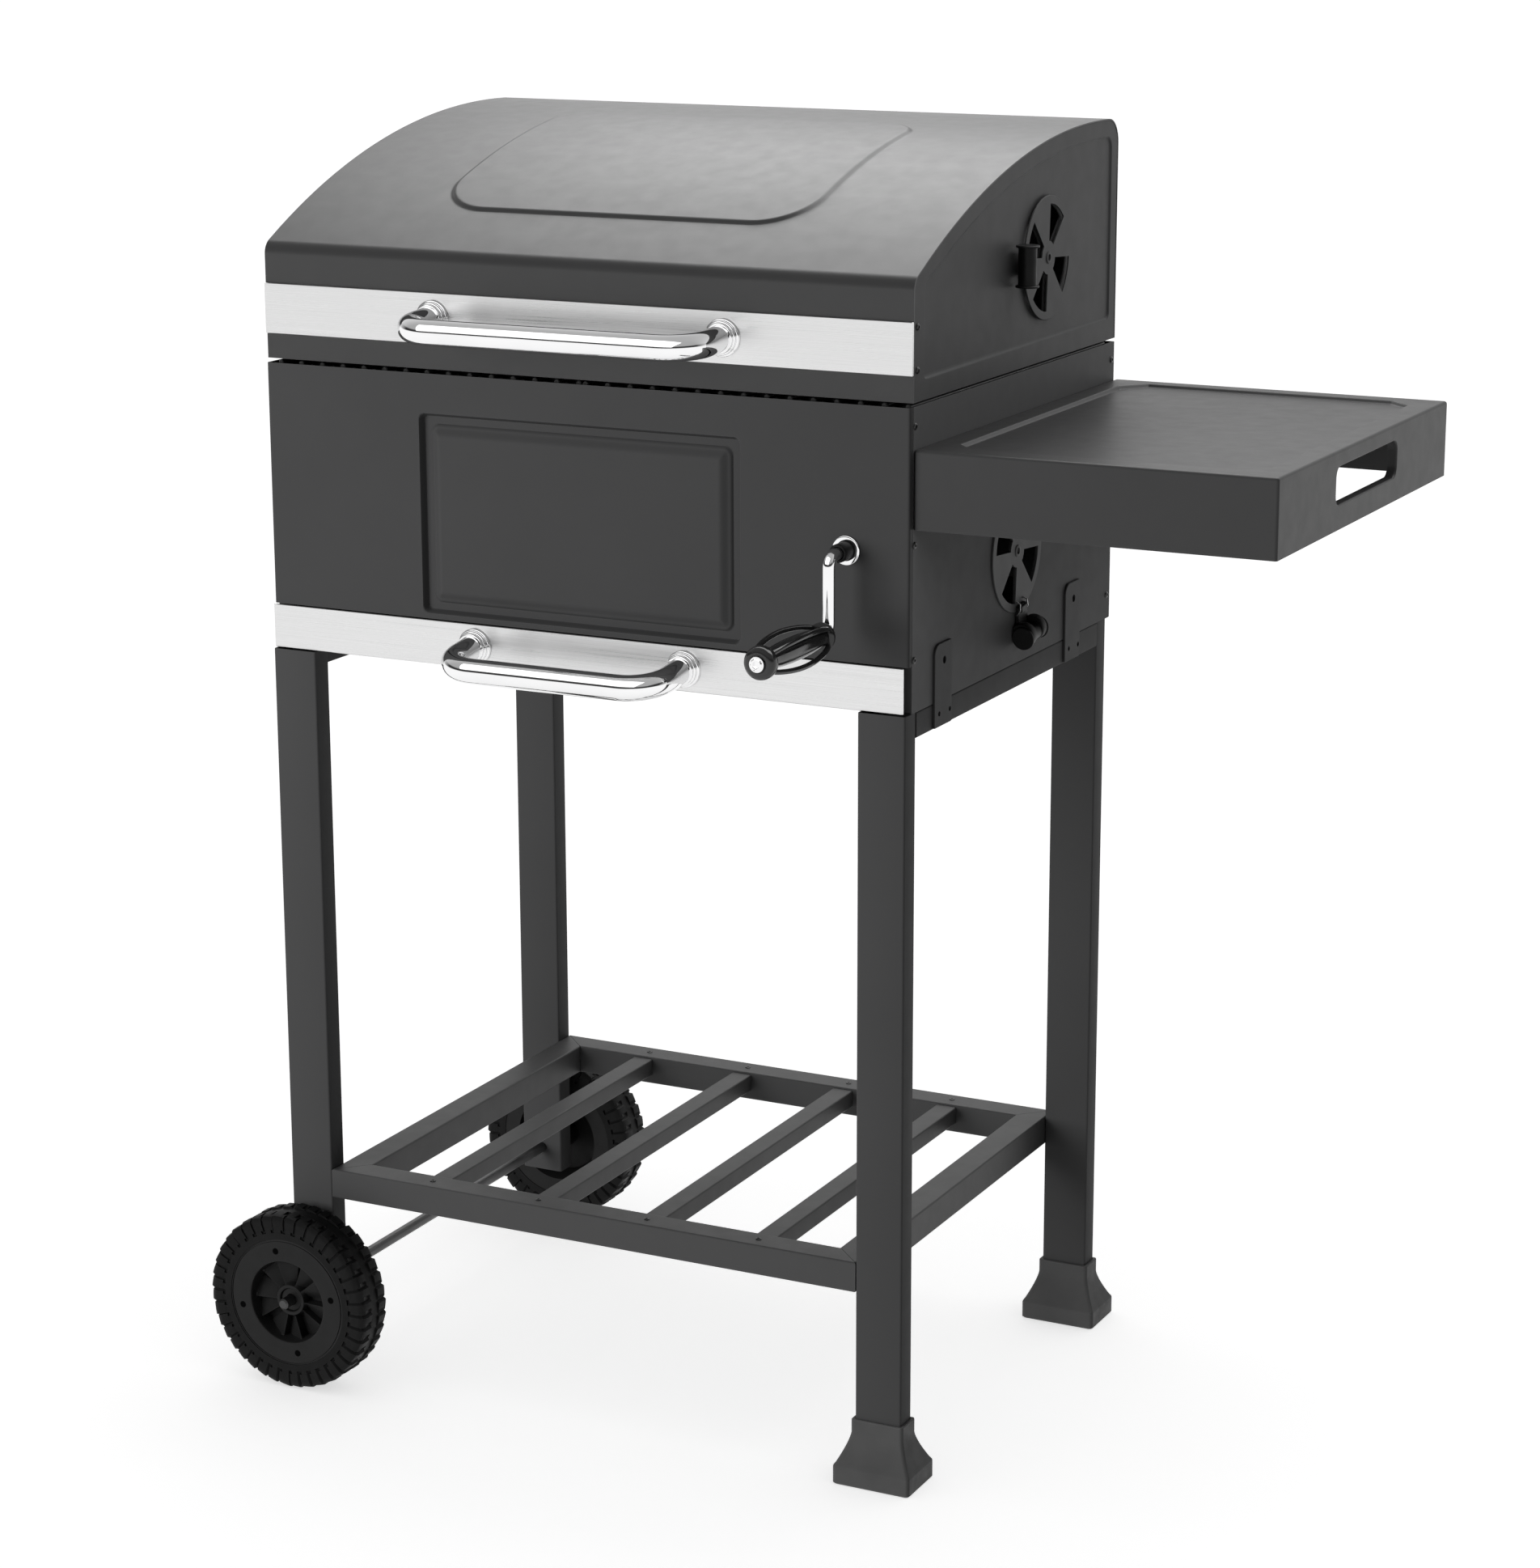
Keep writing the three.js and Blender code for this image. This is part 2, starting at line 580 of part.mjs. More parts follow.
// Distances here run outwards from the inner face of the tread.
function addWheel(end, inner, outward) {
  const place = (profile) => profile.map(([r, d]) => [r, inner + outward * d]);
  const width = WHEEL_WIDTH;
  const chamfer = WHEEL_CHAMFER;
  const lip = WHEEL_RIM_INSET;
  const tyre = [
    [WHEEL_RIM_RADIUS + GAP, 0],
    [WHEEL_RADIUS - chamfer, 0],
    [WHEEL_RADIUS, chamfer],
    [WHEEL_RADIUS, width - chamfer],
    [WHEEL_RADIUS - chamfer, width],
    [WHEEL_RIM_RADIUS + GAP, width],
  ];
  add(`wheel_${end}_tyre`, turned("y", place(tyre), -LEG_X, AXLE_Z, 48), BLACK_PLASTIC());
  const floor = width - WHEEL_RECESS;
  const bore = AXLE_RADIUS + RUNNING_GAP;
  const hubTop = floor + WHEEL_RECESS / 2;
  const rim = [
    [bore, GAP - WHEEL_CLEARANCE],
    [WHEEL_HUB_RADIUS, GAP - WHEEL_CLEARANCE],
    [WHEEL_HUB_RADIUS, floor - WHEEL_WEB],
    [WHEEL_CENTRE_RADIUS, floor - WHEEL_WEB],
    [WHEEL_CENTRE_RADIUS + WHEEL_WEB, lip],
    [WHEEL_RIM_RADIUS, lip],
    [WHEEL_RIM_RADIUS, width - lip],
    [WHEEL_CENTRE_RADIUS + 2 * lip, width - lip],
    [WHEEL_CENTRE_RADIUS, floor],
    [WHEEL_HUB_RADIUS, floor],
    [WHEEL_HUB_RADIUS - lip, hubTop],
    [bore, hubTop],
  ];
  add(`wheel_${end}_rim`, turned("y", place(rim), -LEG_X, AXLE_Z, 48), BLACK_PLASTIC());
  const nutStart = inner + outward * (hubTop + GAP);
  const span = [nutStart, nutStart + outward * NUT_HEIGHT].sort((a, b) => a - b);
  const hexagon = rod("y", -LEG_X, AXLE_Z, NUT_RADIUS, ...span, 6);
  const nutBore = rod("y", -LEG_X, AXLE_Z, AXLE_RADIUS + GAP, span[0] - 1, span[1] + 1);
  add(`axle_nut_${end}`, cut(hexagon, nutBore), ZINC());
}

function addWheels() {
  const frontInner = LEG_FRONT - WHEEL_CLEARANCE;
  const backInner = LEG_BACK + WHEEL_CLEARANCE;
  addWheel("front", frontInner, -1);
  addWheel("back", backInner, 1);
  const reach = WHEEL_WIDTH + AXLE_STUB;
  const axle = rod("y", -LEG_X, AXLE_Z, AXLE_RADIUS, frontInner - reach, backInner + reach);
  add("axle", axle, ZINC());
}

// ---------------------------------------------------------------- firebox

// One port of a damper: a wedge with round ends, in the plane of the disc.
function portOutline(centreY, centreZ, middleAngle) {
  const half = PORT_ANGLE / 2;
  const steps = 5;
  const points = [];
  for (const [radius, from, to] of [[PORT_OUTER, -half, half], [PORT_INNER, half, -half]]) {
    for (let i = 0; i <= steps; i++) {
      const angle = THREE.MathUtils.degToRad(middleAngle + from + ((to - from) * i) / steps);
      points.push([centreY + radius * Math.cos(angle), centreZ + radius * Math.sin(angle)]);
    }
  }
  return polygon(points);
}

function cutPorts(plate, y, z, x0, x1) {
  const ports = [];
  for (let i = 0; i < DAMPER_PORTS; i++) {
    const middle = PORT_FIRST_ANGLE + (i * 360) / DAMPER_PORTS;
    ports.push(prism("x", portOutline(y, z, middle), x0 - 1, x1 + 1));
  }
  return cut(plate, ...ports);
}

// A four-sided frustum across Y, from one rectangle [halfX, z0, z1] to another.
function frustum(y0, [halfA, a0, a1], y1, [halfB, b0, b1]) {
  const loop = (y, half, z0, z1) => {
    const corners = [[-half, z0], [half, z0], [half, z1], [-half, z1]];
    return corners.map(([x, z]) => new THREE.Vector3(x, y, z));
  };
  return loft([loop(y0, halfA, a0, a1), loop(y1, halfB, b0, b1)]);
}

// The front is pressed: a sunk border round a raised middle.
function frontPanel() {
  const sheet = BOX_SHEET;
  const [front, inside] = [-BOX_Y, -INSIDE_Y];
  const half = BOX_X - PANEL_SIDE_INSET;
  const z0 = PANEL_BOTTOM + PANEL_RISE;
  const z1 = BOX_TOP - PANEL_TOP_INSET;
  const plate = block(-BOX_X, BOX_X, front, inside, PANEL_BOTTOM + GAP, BOX_TOP);
  const ledgeX = INSIDE_X - GAP;
  const ledge = block(-ledgeX, ledgeX, front, inside + BOX_LEDGE, LEDGE_TOP - sheet, LEDGE_TOP);
  const pressed = block(-half, half, front, inside + PANEL_DEPTH, z0, z1);
  const sunk = block(
    sheet - half, half - sheet, front - 1, front + PANEL_DEPTH, z0 + sheet, z1 - sheet,
  );
  const inset = (d) => [half - d, z0 + d, z1 - d];
  const foot = inset(PANEL_BORDER);
  const top = inset(PANEL_BORDER + PANEL_BEVEL);
  const raised = frustum(front + PANEL_DEPTH + sheet / 2, foot, front, top);
  const underside = frustum(inside + PANEL_DEPTH, foot, inside, top);
  const bushHole = rod("y", CRANK_X, CRANK_Z, BUSH_RADIUS + GAP, front - 1, inside + 1);
  return cut(join(cut(join(plate, pressed), sunk), raised, ledge), underside, bushHole);
}

function addFireboxPanels() {
  add("firebox_front_panel", frontPanel(), PAINT());

  const backLedge = block(
    GAP - INSIDE_X, INSIDE_X - GAP, INSIDE_Y - BOX_LEDGE, BOX_Y, LEDGE_TOP - BOX_SHEET, LEDGE_TOP,
  );
  const back = join(block(-BOX_X, BOX_X, INSIDE_Y, BOX_Y, BOX_BOTTOM, BOX_TOP), backLedge);
  const screwRadius = CRANK_RADIUS + RUNNING_GAP;
  const screwHole = rod("y", CRANK_X, CRANK_Z, screwRadius, INSIDE_Y - 1, BOX_Y + 1);
  add("firebox_back_panel", cut(back, screwHole), PAINT());

  const [y0, y1] = [-INSIDE_Y + GAP, INSIDE_Y - GAP];
  add("firebox_left_panel", block(-BOX_X, -INSIDE_X, y0, y1, BOX_BOTTOM, BOX_TOP), PAINT());
  const right = block(INSIDE_X, BOX_X, y0, y1, BOX_BOTTOM, BOX_TOP);
  const ported = cutPorts(right, BOX_DAMPER_Y, BOX_DAMPER_Z, INSIDE_X, BOX_X);
  add("firebox_right_panel", ported, PAINT());
}

function addCookingGrates() {
  const rest = LEDGE_TOP + GAP;
  const z = rest + GRATE_ROD;
  const halfSpan = INSIDE_Y - GRATE_END_ROOM;
  const inner = GAP + GRATE_ROD;
  const outer = INSIDE_X - 2 * GRATE_ROD - GAP;
  const crossRods = [GRATE_CROSS_INSET - halfSpan, 0, halfSpan - GRATE_CROSS_INSET];
  for (const [side, sign] of Object.entries(SIDES)) {
    const xs = [];
    for (let i = 0; i < GRATE_BARS; i++) {
      xs.push(sign * (inner + ((outer - inner) * i) / (GRATE_BARS - 1)));
    }
    const bars = xs.map((x) => rod("y", x, z, GRATE_ROD, -halfSpan, halfSpan, 6));
    const span = [sign * inner, sign * outer].sort((a, b) => a - b);
    const cross = crossRods.map((y) => rod("x", y, z - GRATE_ROD, GRATE_ROD, ...span, 6));
    add(`cooking_grate_${side}`, join(...bars, ...cross), ENAMEL());
  }
}

function addSideTable() {
  const x0 = BOX_X + GAP;
  const x1 = x0 + TABLE_WIDTH;
  const [y0, y1] = [TABLE_FRONT_INSET - BOX_Y, BOX_Y + TABLE_BACK_PROUD];
  const z0 = TABLE_TOP - TABLE_SKIRT;
  const t = BOX_SHEET;
  const hollow = block(x0 + t, x1 - t, y0 + t, y1 - t, z0 - 1, TABLE_TOP - t);
  const middle = (y0 + y1) / 2;
  const slotZ = z0 + TABLE_SLOT_RISE;
  const halfSlot = TABLE_SLOT_LENGTH / 2;
  const outline = roundedRectangle(
    middle - halfSlot, slotZ, middle + halfSlot, slotZ + TABLE_SLOT_HEIGHT, TABLE_SLOT_CORNER,
  );
  const slot = prism("x", outline, x1 - 2 * t, x1 + 1, 4);
  const shell = cut(block(x0, x1, y0, y1, z0, TABLE_TOP), hollow, slot);
  add("side_table", shell, TABLE_PAINT());
}

// Angles inside the firebox that the drawer's lips slide on.
function addDrawerRunners() {
  const z0 = DRAWER_TOP - DRAWER_SHEET - GAP - BOX_SHEET;
  const halfLength = INSIDE_Y - RUNNER_END_ROOM;
  const inner = DRAWER_X + RUNNER_SIDE_GAP;
  for (const [side, sign] of Object.entries(SIDES)) {
    const outer = INSIDE_X - GAP;
    const flat = [sign * inner, sign * outer].sort((a, b) => a - b);
    const upright = [sign * (outer - BOX_SHEET), sign * outer].sort((a, b) => a - b);
    const runner = join(
      block(...flat, -halfLength, halfLength, z0, z0 + BOX_SHEET),
      block(...upright, -halfLength, halfLength, z0, z0 + RUNNER_HEIGHT),
    );
    add(`drawer_runner_${side}`, runner, ZINC());
  }
}

// ---------------------------------------------------------------- ash drawer

// A straight tube with two bent ends that stand on turned rosettes.
function tubeHandle(face, span, z, droop) {
  const half = span / 2;
  const foot = (x) => new THREE.Vector3(x, face - ROSETTE_HEIGHT / 2, z);
  const bar = (x) => new THREE.Vector3(x, face - HANDLE_STANDOFF, z - droop);
  const path = rounded([foot(-half), bar(-half), bar(half), foot(half)], HANDLE_BEND);
  const rosette = [[0, face]];
  for (const [inset, share] of ROSETTE_STEPS) {
    const radius = ROSETTE_RADIUS - inset;
    rosette.push([radius, rosette.at(-1)[1]], [radius, face - ROSETTE_HEIGHT * share]);
  }
  rosette.push([0, face - ROSETTE_HEIGHT]);
  const ends = [-half, half].map((x) => turned("y", rosette, x, z, 24));
  return join(tube(path, HANDLE_RADIUS, 16), ...ends);
}

function addAshDrawer() {
  const half = DRAWER_X;
  const t = DRAWER_SHEET;
  const front = -BOX_Y;
  const back = INSIDE_Y - DRAWER_BACK_ROOM;
  const z0 = DRAWER_TOP - DRAWER_WALL;
  const tray = cut(
    block(-half, half, front, back, z0, DRAWER_TOP),
    block(t - half, half - t, front + t, back - t, z0 + t, DRAWER_TOP + 1),
  );
  const lip = half + DRAWER_LIP;
  const lips = [
    block(-lip, t - half, front, back, DRAWER_TOP - t, DRAWER_TOP),
    block(half - t, lip, front, back, DRAWER_TOP - t, DRAWER_TOP),
  ];
  const [x0, x1] = [-BOX_X, BOX_X - TRIM_RIGHT_INSET];
  const [bottom, top] = [BOX_BOTTOM + TRIM_MARGIN, PANEL_BOTTOM - TRIM_MARGIN];
  const m = FACE_MARGIN;
  const face = block(x0 + m, x1 - m, front, front + t, bottom + m / 2, top - m / 2);
  add("ash_drawer", join(tray, ...lips, face), ENAMEL());

  const stripBack = front - GAP;
  const stripFront = stripBack - TRIM_THICKNESS;
  add("drawer_trim_strip", block(x0, x1, stripFront, stripBack, bottom, top), STAINLESS());
  const span = DRAWER_HANDLE_SPAN;
  const handle = tubeHandle(stripFront - GAP, span, DRAWER_MIDDLE, DRAWER_HANDLE_DROOP);
  add("drawer_handle", handle, CHROME());
}

// ---------------------------------------------------------------- lid

// The lid seen from the side, inset by a distance from the outer surface: straight front, round
// shoulder, one long arc to the crest and over it, round back corner, straight back.
function lidOutline(inset, bottom) {
  const front = LID_FRONT + inset;
  const back = LID_BACK - inset;
  const crestY = LID_BACK - LID_CREST_INSET;
  const run = crestY - LID_FRONT;
  const drop = LID_HEIGHT - LID_FRONT_HEIGHT;
  const outerRadius = (run ** 2 + drop ** 2) / (2 * drop);
  const radius = outerRadius - inset;
  const centreZ = LID_TOP - outerRadius;
  const shoulder = LID_SHOULDER_RADIUS - inset;
  const corner = LID_BACK_RADIUS - inset;
  const points = [[front, bottom]];
  const arc = (y, z, r, from, to, steps) => {
    for (let i = 0; i <= steps; i++) {
      const angle = from + ((to - from) * i) / steps;
      points.push([y + r * Math.cos(angle), z + r * Math.sin(angle)]);
    }
  };
  const tangent = (y, r) => Math.acos((y - crestY) / (radius - r));
  const shoulderY = front + shoulder;
  const shoulderAngle = tangent(shoulderY, shoulder);
  const shoulderZ = centreZ + (radius - shoulder) * Math.sin(shoulderAngle);
  arc(shoulderY, shoulderZ, shoulder, Math.PI, shoulderAngle, 5);
  const cornerY = back - corner;
  const cornerAngle = tangent(cornerY, corner);
  arc(crestY, centreZ, radius, shoulderAngle, cornerAngle, 18);
  const cornerZ = centreZ + (radius - corner) * Math.sin(cornerAngle);
  arc(cornerY, cornerZ, corner, cornerAngle, 0, 6);
  points.push([back, bottom]);
  return points;
}

function addLid() {
  const shell = cut(
    prism("x", polygon(lidOutline(0, LID_BOTTOM)), -LID_X, LID_X),
    prism("x", polygon(lidOutline(LID_SHEET, LID_BOTTOM - 1)), -LID_X - 1, LID_X + 1),
  );
  add("lid_shell", shell, PAINT());
  const outline = polygon(lidOutline(LID_SHEET + GAP, LID_BOTTOM));
  const end = LID_X - GAP;
  add("lid_end_left", prism("x", outline, -end, LID_SHEET - end), PAINT());
  const right = prism("x", outline, end - LID_SHEET, end);
  const ported = cutPorts(right, LID_DAMPER_Y, LID_DAMPER_Z, end - LID_SHEET, end);
  add("lid_end_right", ported, PAINT());

  const stripBottom = LID_BOTTOM + STRIP_RISE;
  const stripBack = LID_FRONT - GAP;
  const stripFront = stripBack - STRIP_THICKNESS;
  const stripTop = stripBottom + STRIP_HEIGHT;
  const strip = block(-LID_X, LID_X, stripFront, stripBack, stripBottom, stripTop);
  add("lid_trim_strip", strip, STAINLESS());
  const handleZ = stripBottom + STRIP_HEIGHT / 2;
  const handle = tubeHandle(stripFront - GAP, LID_HANDLE_SPAN, handleZ, LID_HANDLE_DROOP);
  add("lid_handle", handle, CHROME());
}

// The pin is part of the lid's hinge arm, and turns in the knuckle of the leaf below.
function addHinges() {
  const bore = PIN_RADIUS + RUNNING_GAP;
  const leafTop = PIN_Z - KNUCKLE_RADIUS - 1;
  const armBottom = LID_BOTTOM + HINGE_RISE;
  const leafY = [BOX_Y + GAP, BOX_Y + GAP + HINGE_SHEET];
  const armY = [LID_BACK + GAP, LID_BACK + GAP + HINGE_SHEET];
  for (const [side, sign] of Object.entries(SIDES)) {
    const x = sign * (BOX_X - HINGE_INSET);
    const [x0, x1] = [x - HINGE_WIDTH / 2, x + HINGE_WIDTH / 2];
    const [k0, k1] = [x - HINGE_WIDTH / 6, x + HINGE_WIDTH / 6];
    const leaf = join(
      block(x0, x1, ...leafY, leafTop - HINGE_LEAF, leafTop),
      block(k0, k1, leafY[0], PIN_Y, leafTop - HINGE_SHEET, PIN_Z - 1),
      rod("x", PIN_Y, PIN_Z, KNUCKLE_RADIUS, k0, k1),
    );
    const clear = rod("x", PIN_Y, PIN_Z, bore, k0 - 1, k1 + 1);
    add(`hinge_leaf_${side}`, cut(leaf, clear), ZINC());

    const parts = [
      block(x0, x1, ...armY, armBottom, armBottom + HINGE_LEAF),
      rod("x", PIN_Y, PIN_Z, PIN_RADIUS, x0, x1),
    ];
    for (const [a, b] of [[x0, k0 - GAP], [k1 + GAP, x1]]) {
      parts.push(rod("x", PIN_Y, PIN_Z, KNUCKLE_RADIUS, a, b));
      parts.push(block(a, b, armY[0], PIN_Y, PIN_Z + 1, armBottom + HINGE_SHEET));
    }
    add(`lid_hinge_arm_${side}`, join(...parts), ZINC());
  }
}

// ---------------------------------------------------------------- dampers

// A round slide with ports, riveted on a side wall, and a moulded grip clipped to its edge at an
// angle counted from the back towards the top.
function addDamper(name, wall, y, z, gripReach, gripAngle) {
  const x0 = wall + GAP;
  const x1 = x0 + DAMPER_SHEET;
  const disc = cutPorts(rod("x", y, z, DAMPER_RADIUS, x0, x1, 48), y, z, x0, x1);
  add(`${name}_disc`, disc, PAINT());

  const r = GRIP_ROLL;
  const seat = x1 + GAP;
  const axisX = seat + r;
  const reach = DAMPER_RADIUS + gripReach;
  const [half, halfNeck] = [GRIP_LENGTH / 2, GRIP_NECK / 2];
  const parts = [
    rod("z", axisX, reach, r, -half, half, 20),
    block(seat, seat + GRIP_NECK_THICKNESS, DAMPER_RADIUS - GRIP_OVERLAP, reach, -halfNeck, halfNeck),
  ];
  for (const middle of [-half, half]) {
    const span = [middle - GRIP_FLANGE_THICKNESS / 2, middle + GRIP_FLANGE_THICKNESS / 2];
    parts.push(rod("z", axisX, reach, r + GRIP_FLANGE, ...span, 20));
  }
  // The flanges are cut flat where they would touch the wall.
  const behind = block(x0 - 2 * r, x0 + GAP, reach - 2 * r, reach + 2 * r, -2 * half, 2 * half);
  const grip = cut(join(...parts), behind);
  grip.rotateX(THREE.MathUtils.degToRad(gripAngle)).translate(0, y, z);
  add(`${name}_grip`, grip, BLACK_PLASTIC());
}

// ---------------------------------------------------------------- crank and charcoal lift

const KNOB_BACK = -BOX_Y - CRANK_REACH - CRANK_RADIUS - KNOB_CLEARANCE;
const KNOB_FRONT = KNOB_BACK - KNOB_LENGTH;
const KNOB_Z = CRANK_Z - CRANK_ARM;

// The crank's grip: a spindle-shaped core between two caps, with arched ribs round it.
function knob() {
  const bore = CRANK_RADIUS + RUNNING_GAP;
  const cap = KNOB_CAP_RADIUS;
  const collar = cap - KNOB_CAP_EDGE;
  const coreBack = KNOB_BACK - KNOB_COLLAR_LENGTH - 1;
  const coreFront = KNOB_FRONT + KNOB_CAP_LENGTH + KNOB_CAP_EDGE;
  const profile = [[bore, KNOB_BACK], [collar, KNOB_BACK], [collar + 1, coreBack + 1]];
  const coreSteps = 6;
  for (let i = 0; i <= coreSteps; i++) {
    const t = i / coreSteps;
    const swell = (KNOB_CORE_RADIUS - bore) * Math.sin(Math.PI * t);
    profile.push([bore + KNOB_CORE_WALL + swell, coreBack + (coreFront - coreBack) * t]);
  }
  profile.push([cap, KNOB_FRONT + KNOB_CAP_LENGTH], [cap, KNOB_FRONT + KNOB_CAP_EDGE]);
  profile.push([cap - KNOB_CAP_EDGE, KNOB_FRONT], [bore, KNOB_FRONT]);
  const parts = [turned("y", profile, CRANK_X, KNOB_Z, 24)];

  const low = cap - 4;
  const ribBack = KNOB_BACK - 2;
  const ribFront = KNOB_FRONT + 2 * KNOB_CAP_EDGE;
  const bow = (t) => low + (KNOB_RIB_RADIUS - low) * Math.sin(Math.PI * t) ** 0.7;
  const shares = Array.from({ length: 11 }, (_, i) => i / 10);
  const yAt = (t) => ribBack + (ribFront - ribBack) * t;
  const outline = [
    ...shares.map((t) => [bow(t), yAt(t)]),
    ...shares.toReversed().map((t) => [bow(t) - KNOB_RIB_THICKNESS, yAt(t)]),
  ];
  for (let k = 0; k < KNOB_RIBS; k++) {
    const rib = prism("z", polygon(outline), -KNOB_RIB_WIDTH / 2, KNOB_RIB_WIDTH / 2);
    const angle = ((k + 0.5) / KNOB_RIBS) * 2 * Math.PI;
    parts.push(rib.rotateY(angle).translate(CRANK_X, 0, KNOB_Z));
  }
  return join(...parts);
}

function addCrank() {
  const ringBack = -BOX_Y - GAP;
  const ringFront = ringBack - RING_THICKNESS;
  const ring = cut(
    rod("y", CRANK_X, CRANK_Z, RING_RADIUS, ringFront, ringBack, 32),
    rod("y", CRANK_X, CRANK_Z, BUSH_RADIUS + GAP, ringFront - 1, ringBack + 1, 24),
  );
  add("crank_ring", ring, CHROME());
  const [bushFront, bushBack] = [-BOX_Y - BUSH_REACH, BUSH_INSIDE - INSIDE_Y];
  const running = CRANK_RADIUS + RUNNING_GAP;
  const bush = cut(
    rod("y", CRANK_X, CRANK_Z, BUSH_RADIUS, bushFront, bushBack, 24),
    rod("y", CRANK_X, CRANK_Z, running, bushFront - 1, bushBack + 1, 24),
  );
  add("crank_bush", bush, BLACK_PLASTIC());

  const at = (y, z) => new THREE.Vector3(CRANK_X, y, z);
  const arm = -BOX_Y - CRANK_REACH;
  const end = KNOB_FRONT + KNOB_CAP_EDGE;
  const corners = [at(BOX_Y - GAP, CRANK_Z), at(arm, CRANK_Z), at(arm, KNOB_Z), at(end, KNOB_Z)];
  add("crank_rod", tube(rounded(corners, CRANK_BEND, 5), CRANK_RADIUS, 16), CHROME());

  add("crank_grip", knob(), GLOSS_PLASTIC());
  const boltBack = KNOB_FRONT - GAP;
  const boltFront = boltBack - BOLT_HEIGHT;
  const bolt = rod("y", CRANK_X, KNOB_Z, BOLT_RADIUS, boltFront, boltBack, 24);
  const depth = boltFront + BOLT_SOCKET_DEPTH;
  const socket = rod("y", CRANK_X, KNOB_Z, BOLT_SOCKET_RADIUS, boltFront - 1, depth, 6);
  add("grip_bolt", cut(bolt, socket), CHROME());
}

const RAMP_RUN = LIFT_TRAVEL + LIFT_RAMP_SPARE;
const PAN_BOTTOM = CRANK_Z + NUT_BLOCK / 2 + PAN_CLEARANCE;
const RAMP_BOTTOM = PAN_BOTTOM - PAN_CLEARANCE - RAMP_RUN;
const CARRIAGE_BACK = (LIFT_LENGTH - LIFT_TRAVEL) / 2;
const CARRIAGE_FRONT = CARRIAGE_BACK - LIFT_LENGTH;
// Low ends of the front and back ramps, with the carriage at rest.
const RAMP_STARTS = [CARRIAGE_FRONT + LIFT_BEAM + RAMP_RUN, CARRIAGE_BACK - LIFT_BEAM / 2];

// A carriage under the pan: the crank's screw draws it along a guide rod, towards the back, and
// its four 45 degree ramps push the pan's feet up.
function addLift() {
  const guide = rod("y", -CRANK_X, CRANK_Z, CRANK_RADIUS, -INSIDE_Y + GAP, INSIDE_Y - GAP);
  add("lift_guide_rod", guide, ZINC());

  const [front, back] = [CARRIAGE_FRONT, CARRIAGE_BACK];
  const [z0, z1] = [RAMP_BOTTOM - LIFT_BEAM, RAMP_BOTTOM];
  const half = LIFT_BEAM / 2;
  const parts = [];
  for (const sign of Object.values(SIDES)) {
    parts.push(block(sign * LIFT_X - half, sign * LIFT_X + half, front, back, z0, z1));
    for (const y of [front, back - LIFT_BEAM]) {
      parts.push(block(-LIFT_X, LIFT_X, y, y + LIFT_BEAM, z0, z1));
    }
    const nutX = sign * CRANK_X;
    const nutHalf = NUT_BLOCK / 2;
    const nutY = [(front + back) / 2 - nutHalf, (front + back) / 2 + nutHalf];
    const tie = [sign * LIFT_X, nutX + sign * nutHalf].sort((a, b) => a - b);
    parts.push(block(...tie, ...nutY, z0, z1));
    parts.push(block(nutX - nutHalf, nutX + nutHalf, ...nutY, z0, CRANK_Z + nutHalf));
    for (const low of RAMP_STARTS) {
      const high = low - RAMP_RUN;
      const ramp = polygon([[low, z1 - 1], [high, z1 - 1], [high, z1 + RAMP_RUN], [low, z1]]);
      const width = LIFT_RAMP_WIDTH / 2;
      parts.push(prism("x", ramp, sign * LIFT_X - width, sign * LIFT_X + width));
    }
  }
  const bores = Object.values(SIDES).map((sign) =>
    rod("y", sign * CRANK_X, CRANK_Z, CRANK_RADIUS + RUNNING_GAP, front, back),
  );
  add("lift_carriage", cut(join(...parts), ...bores), ZINC());
}

function addCharcoalPan() {
  const [hx, hy] = [INSIDE_X - PAN_SIDE_ROOM, INSIDE_Y - PAN_END_ROOM];
  const t = PAN_SHEET;
  const z0 = PAN_BOTTOM;
  const tray = cut(
    block(-hx, hx, -hy, hy, z0, z0 + PAN_WALL),
    block(t - hx, hx - t, t - hy, hy - t, z0 + t, z0 + PAN_WALL + 1),
  );
  const feet = [];
  const width = LIFT_RAMP_WIDTH / 2;
  for (const sign of Object.values(SIDES)) {
    for (const low of RAMP_STARTS) {
      // The foot's slanted end lies along the ramp, a clearance above it.
      const [start, end] = [low - GAP, low - GAP - PAN_FOOT];
      const bottom = RAMP_BOTTOM + 3 * GAP;
      const top = z0 + t / 2;
      const foot = polygon([[start, bottom], [start, top], [end, top], [end, bottom + PAN_FOOT]]);
      feet.push(prism("x", foot, sign * LIFT_X - width, sign * LIFT_X + width));
    }
  }
  const slots = [];
  for (let i = 0; i < PAN_SLOTS; i++) {
    const x = (LIFT_X - PAN_SLOT_MARGIN) * ((2 * i) / (PAN_SLOTS - 1) - 1);
    const [x0, x1] = [x - PAN_SLOT_WIDTH / 2, x + PAN_SLOT_WIDTH / 2];
    const y1 = hy - PAN_SLOT_MARGIN;
    const outline = roundedRectangle(x0, -y1, x1, y1, PAN_SLOT_CORNER);
    slots.push(prism("z", outline, z0 - 1, z0 + t + 1, 2));
  }
  add("charcoal_pan", cut(join(tray, ...feet), ...slots), ENAMEL());
}

// ---------------------------------------------------------------- assembly

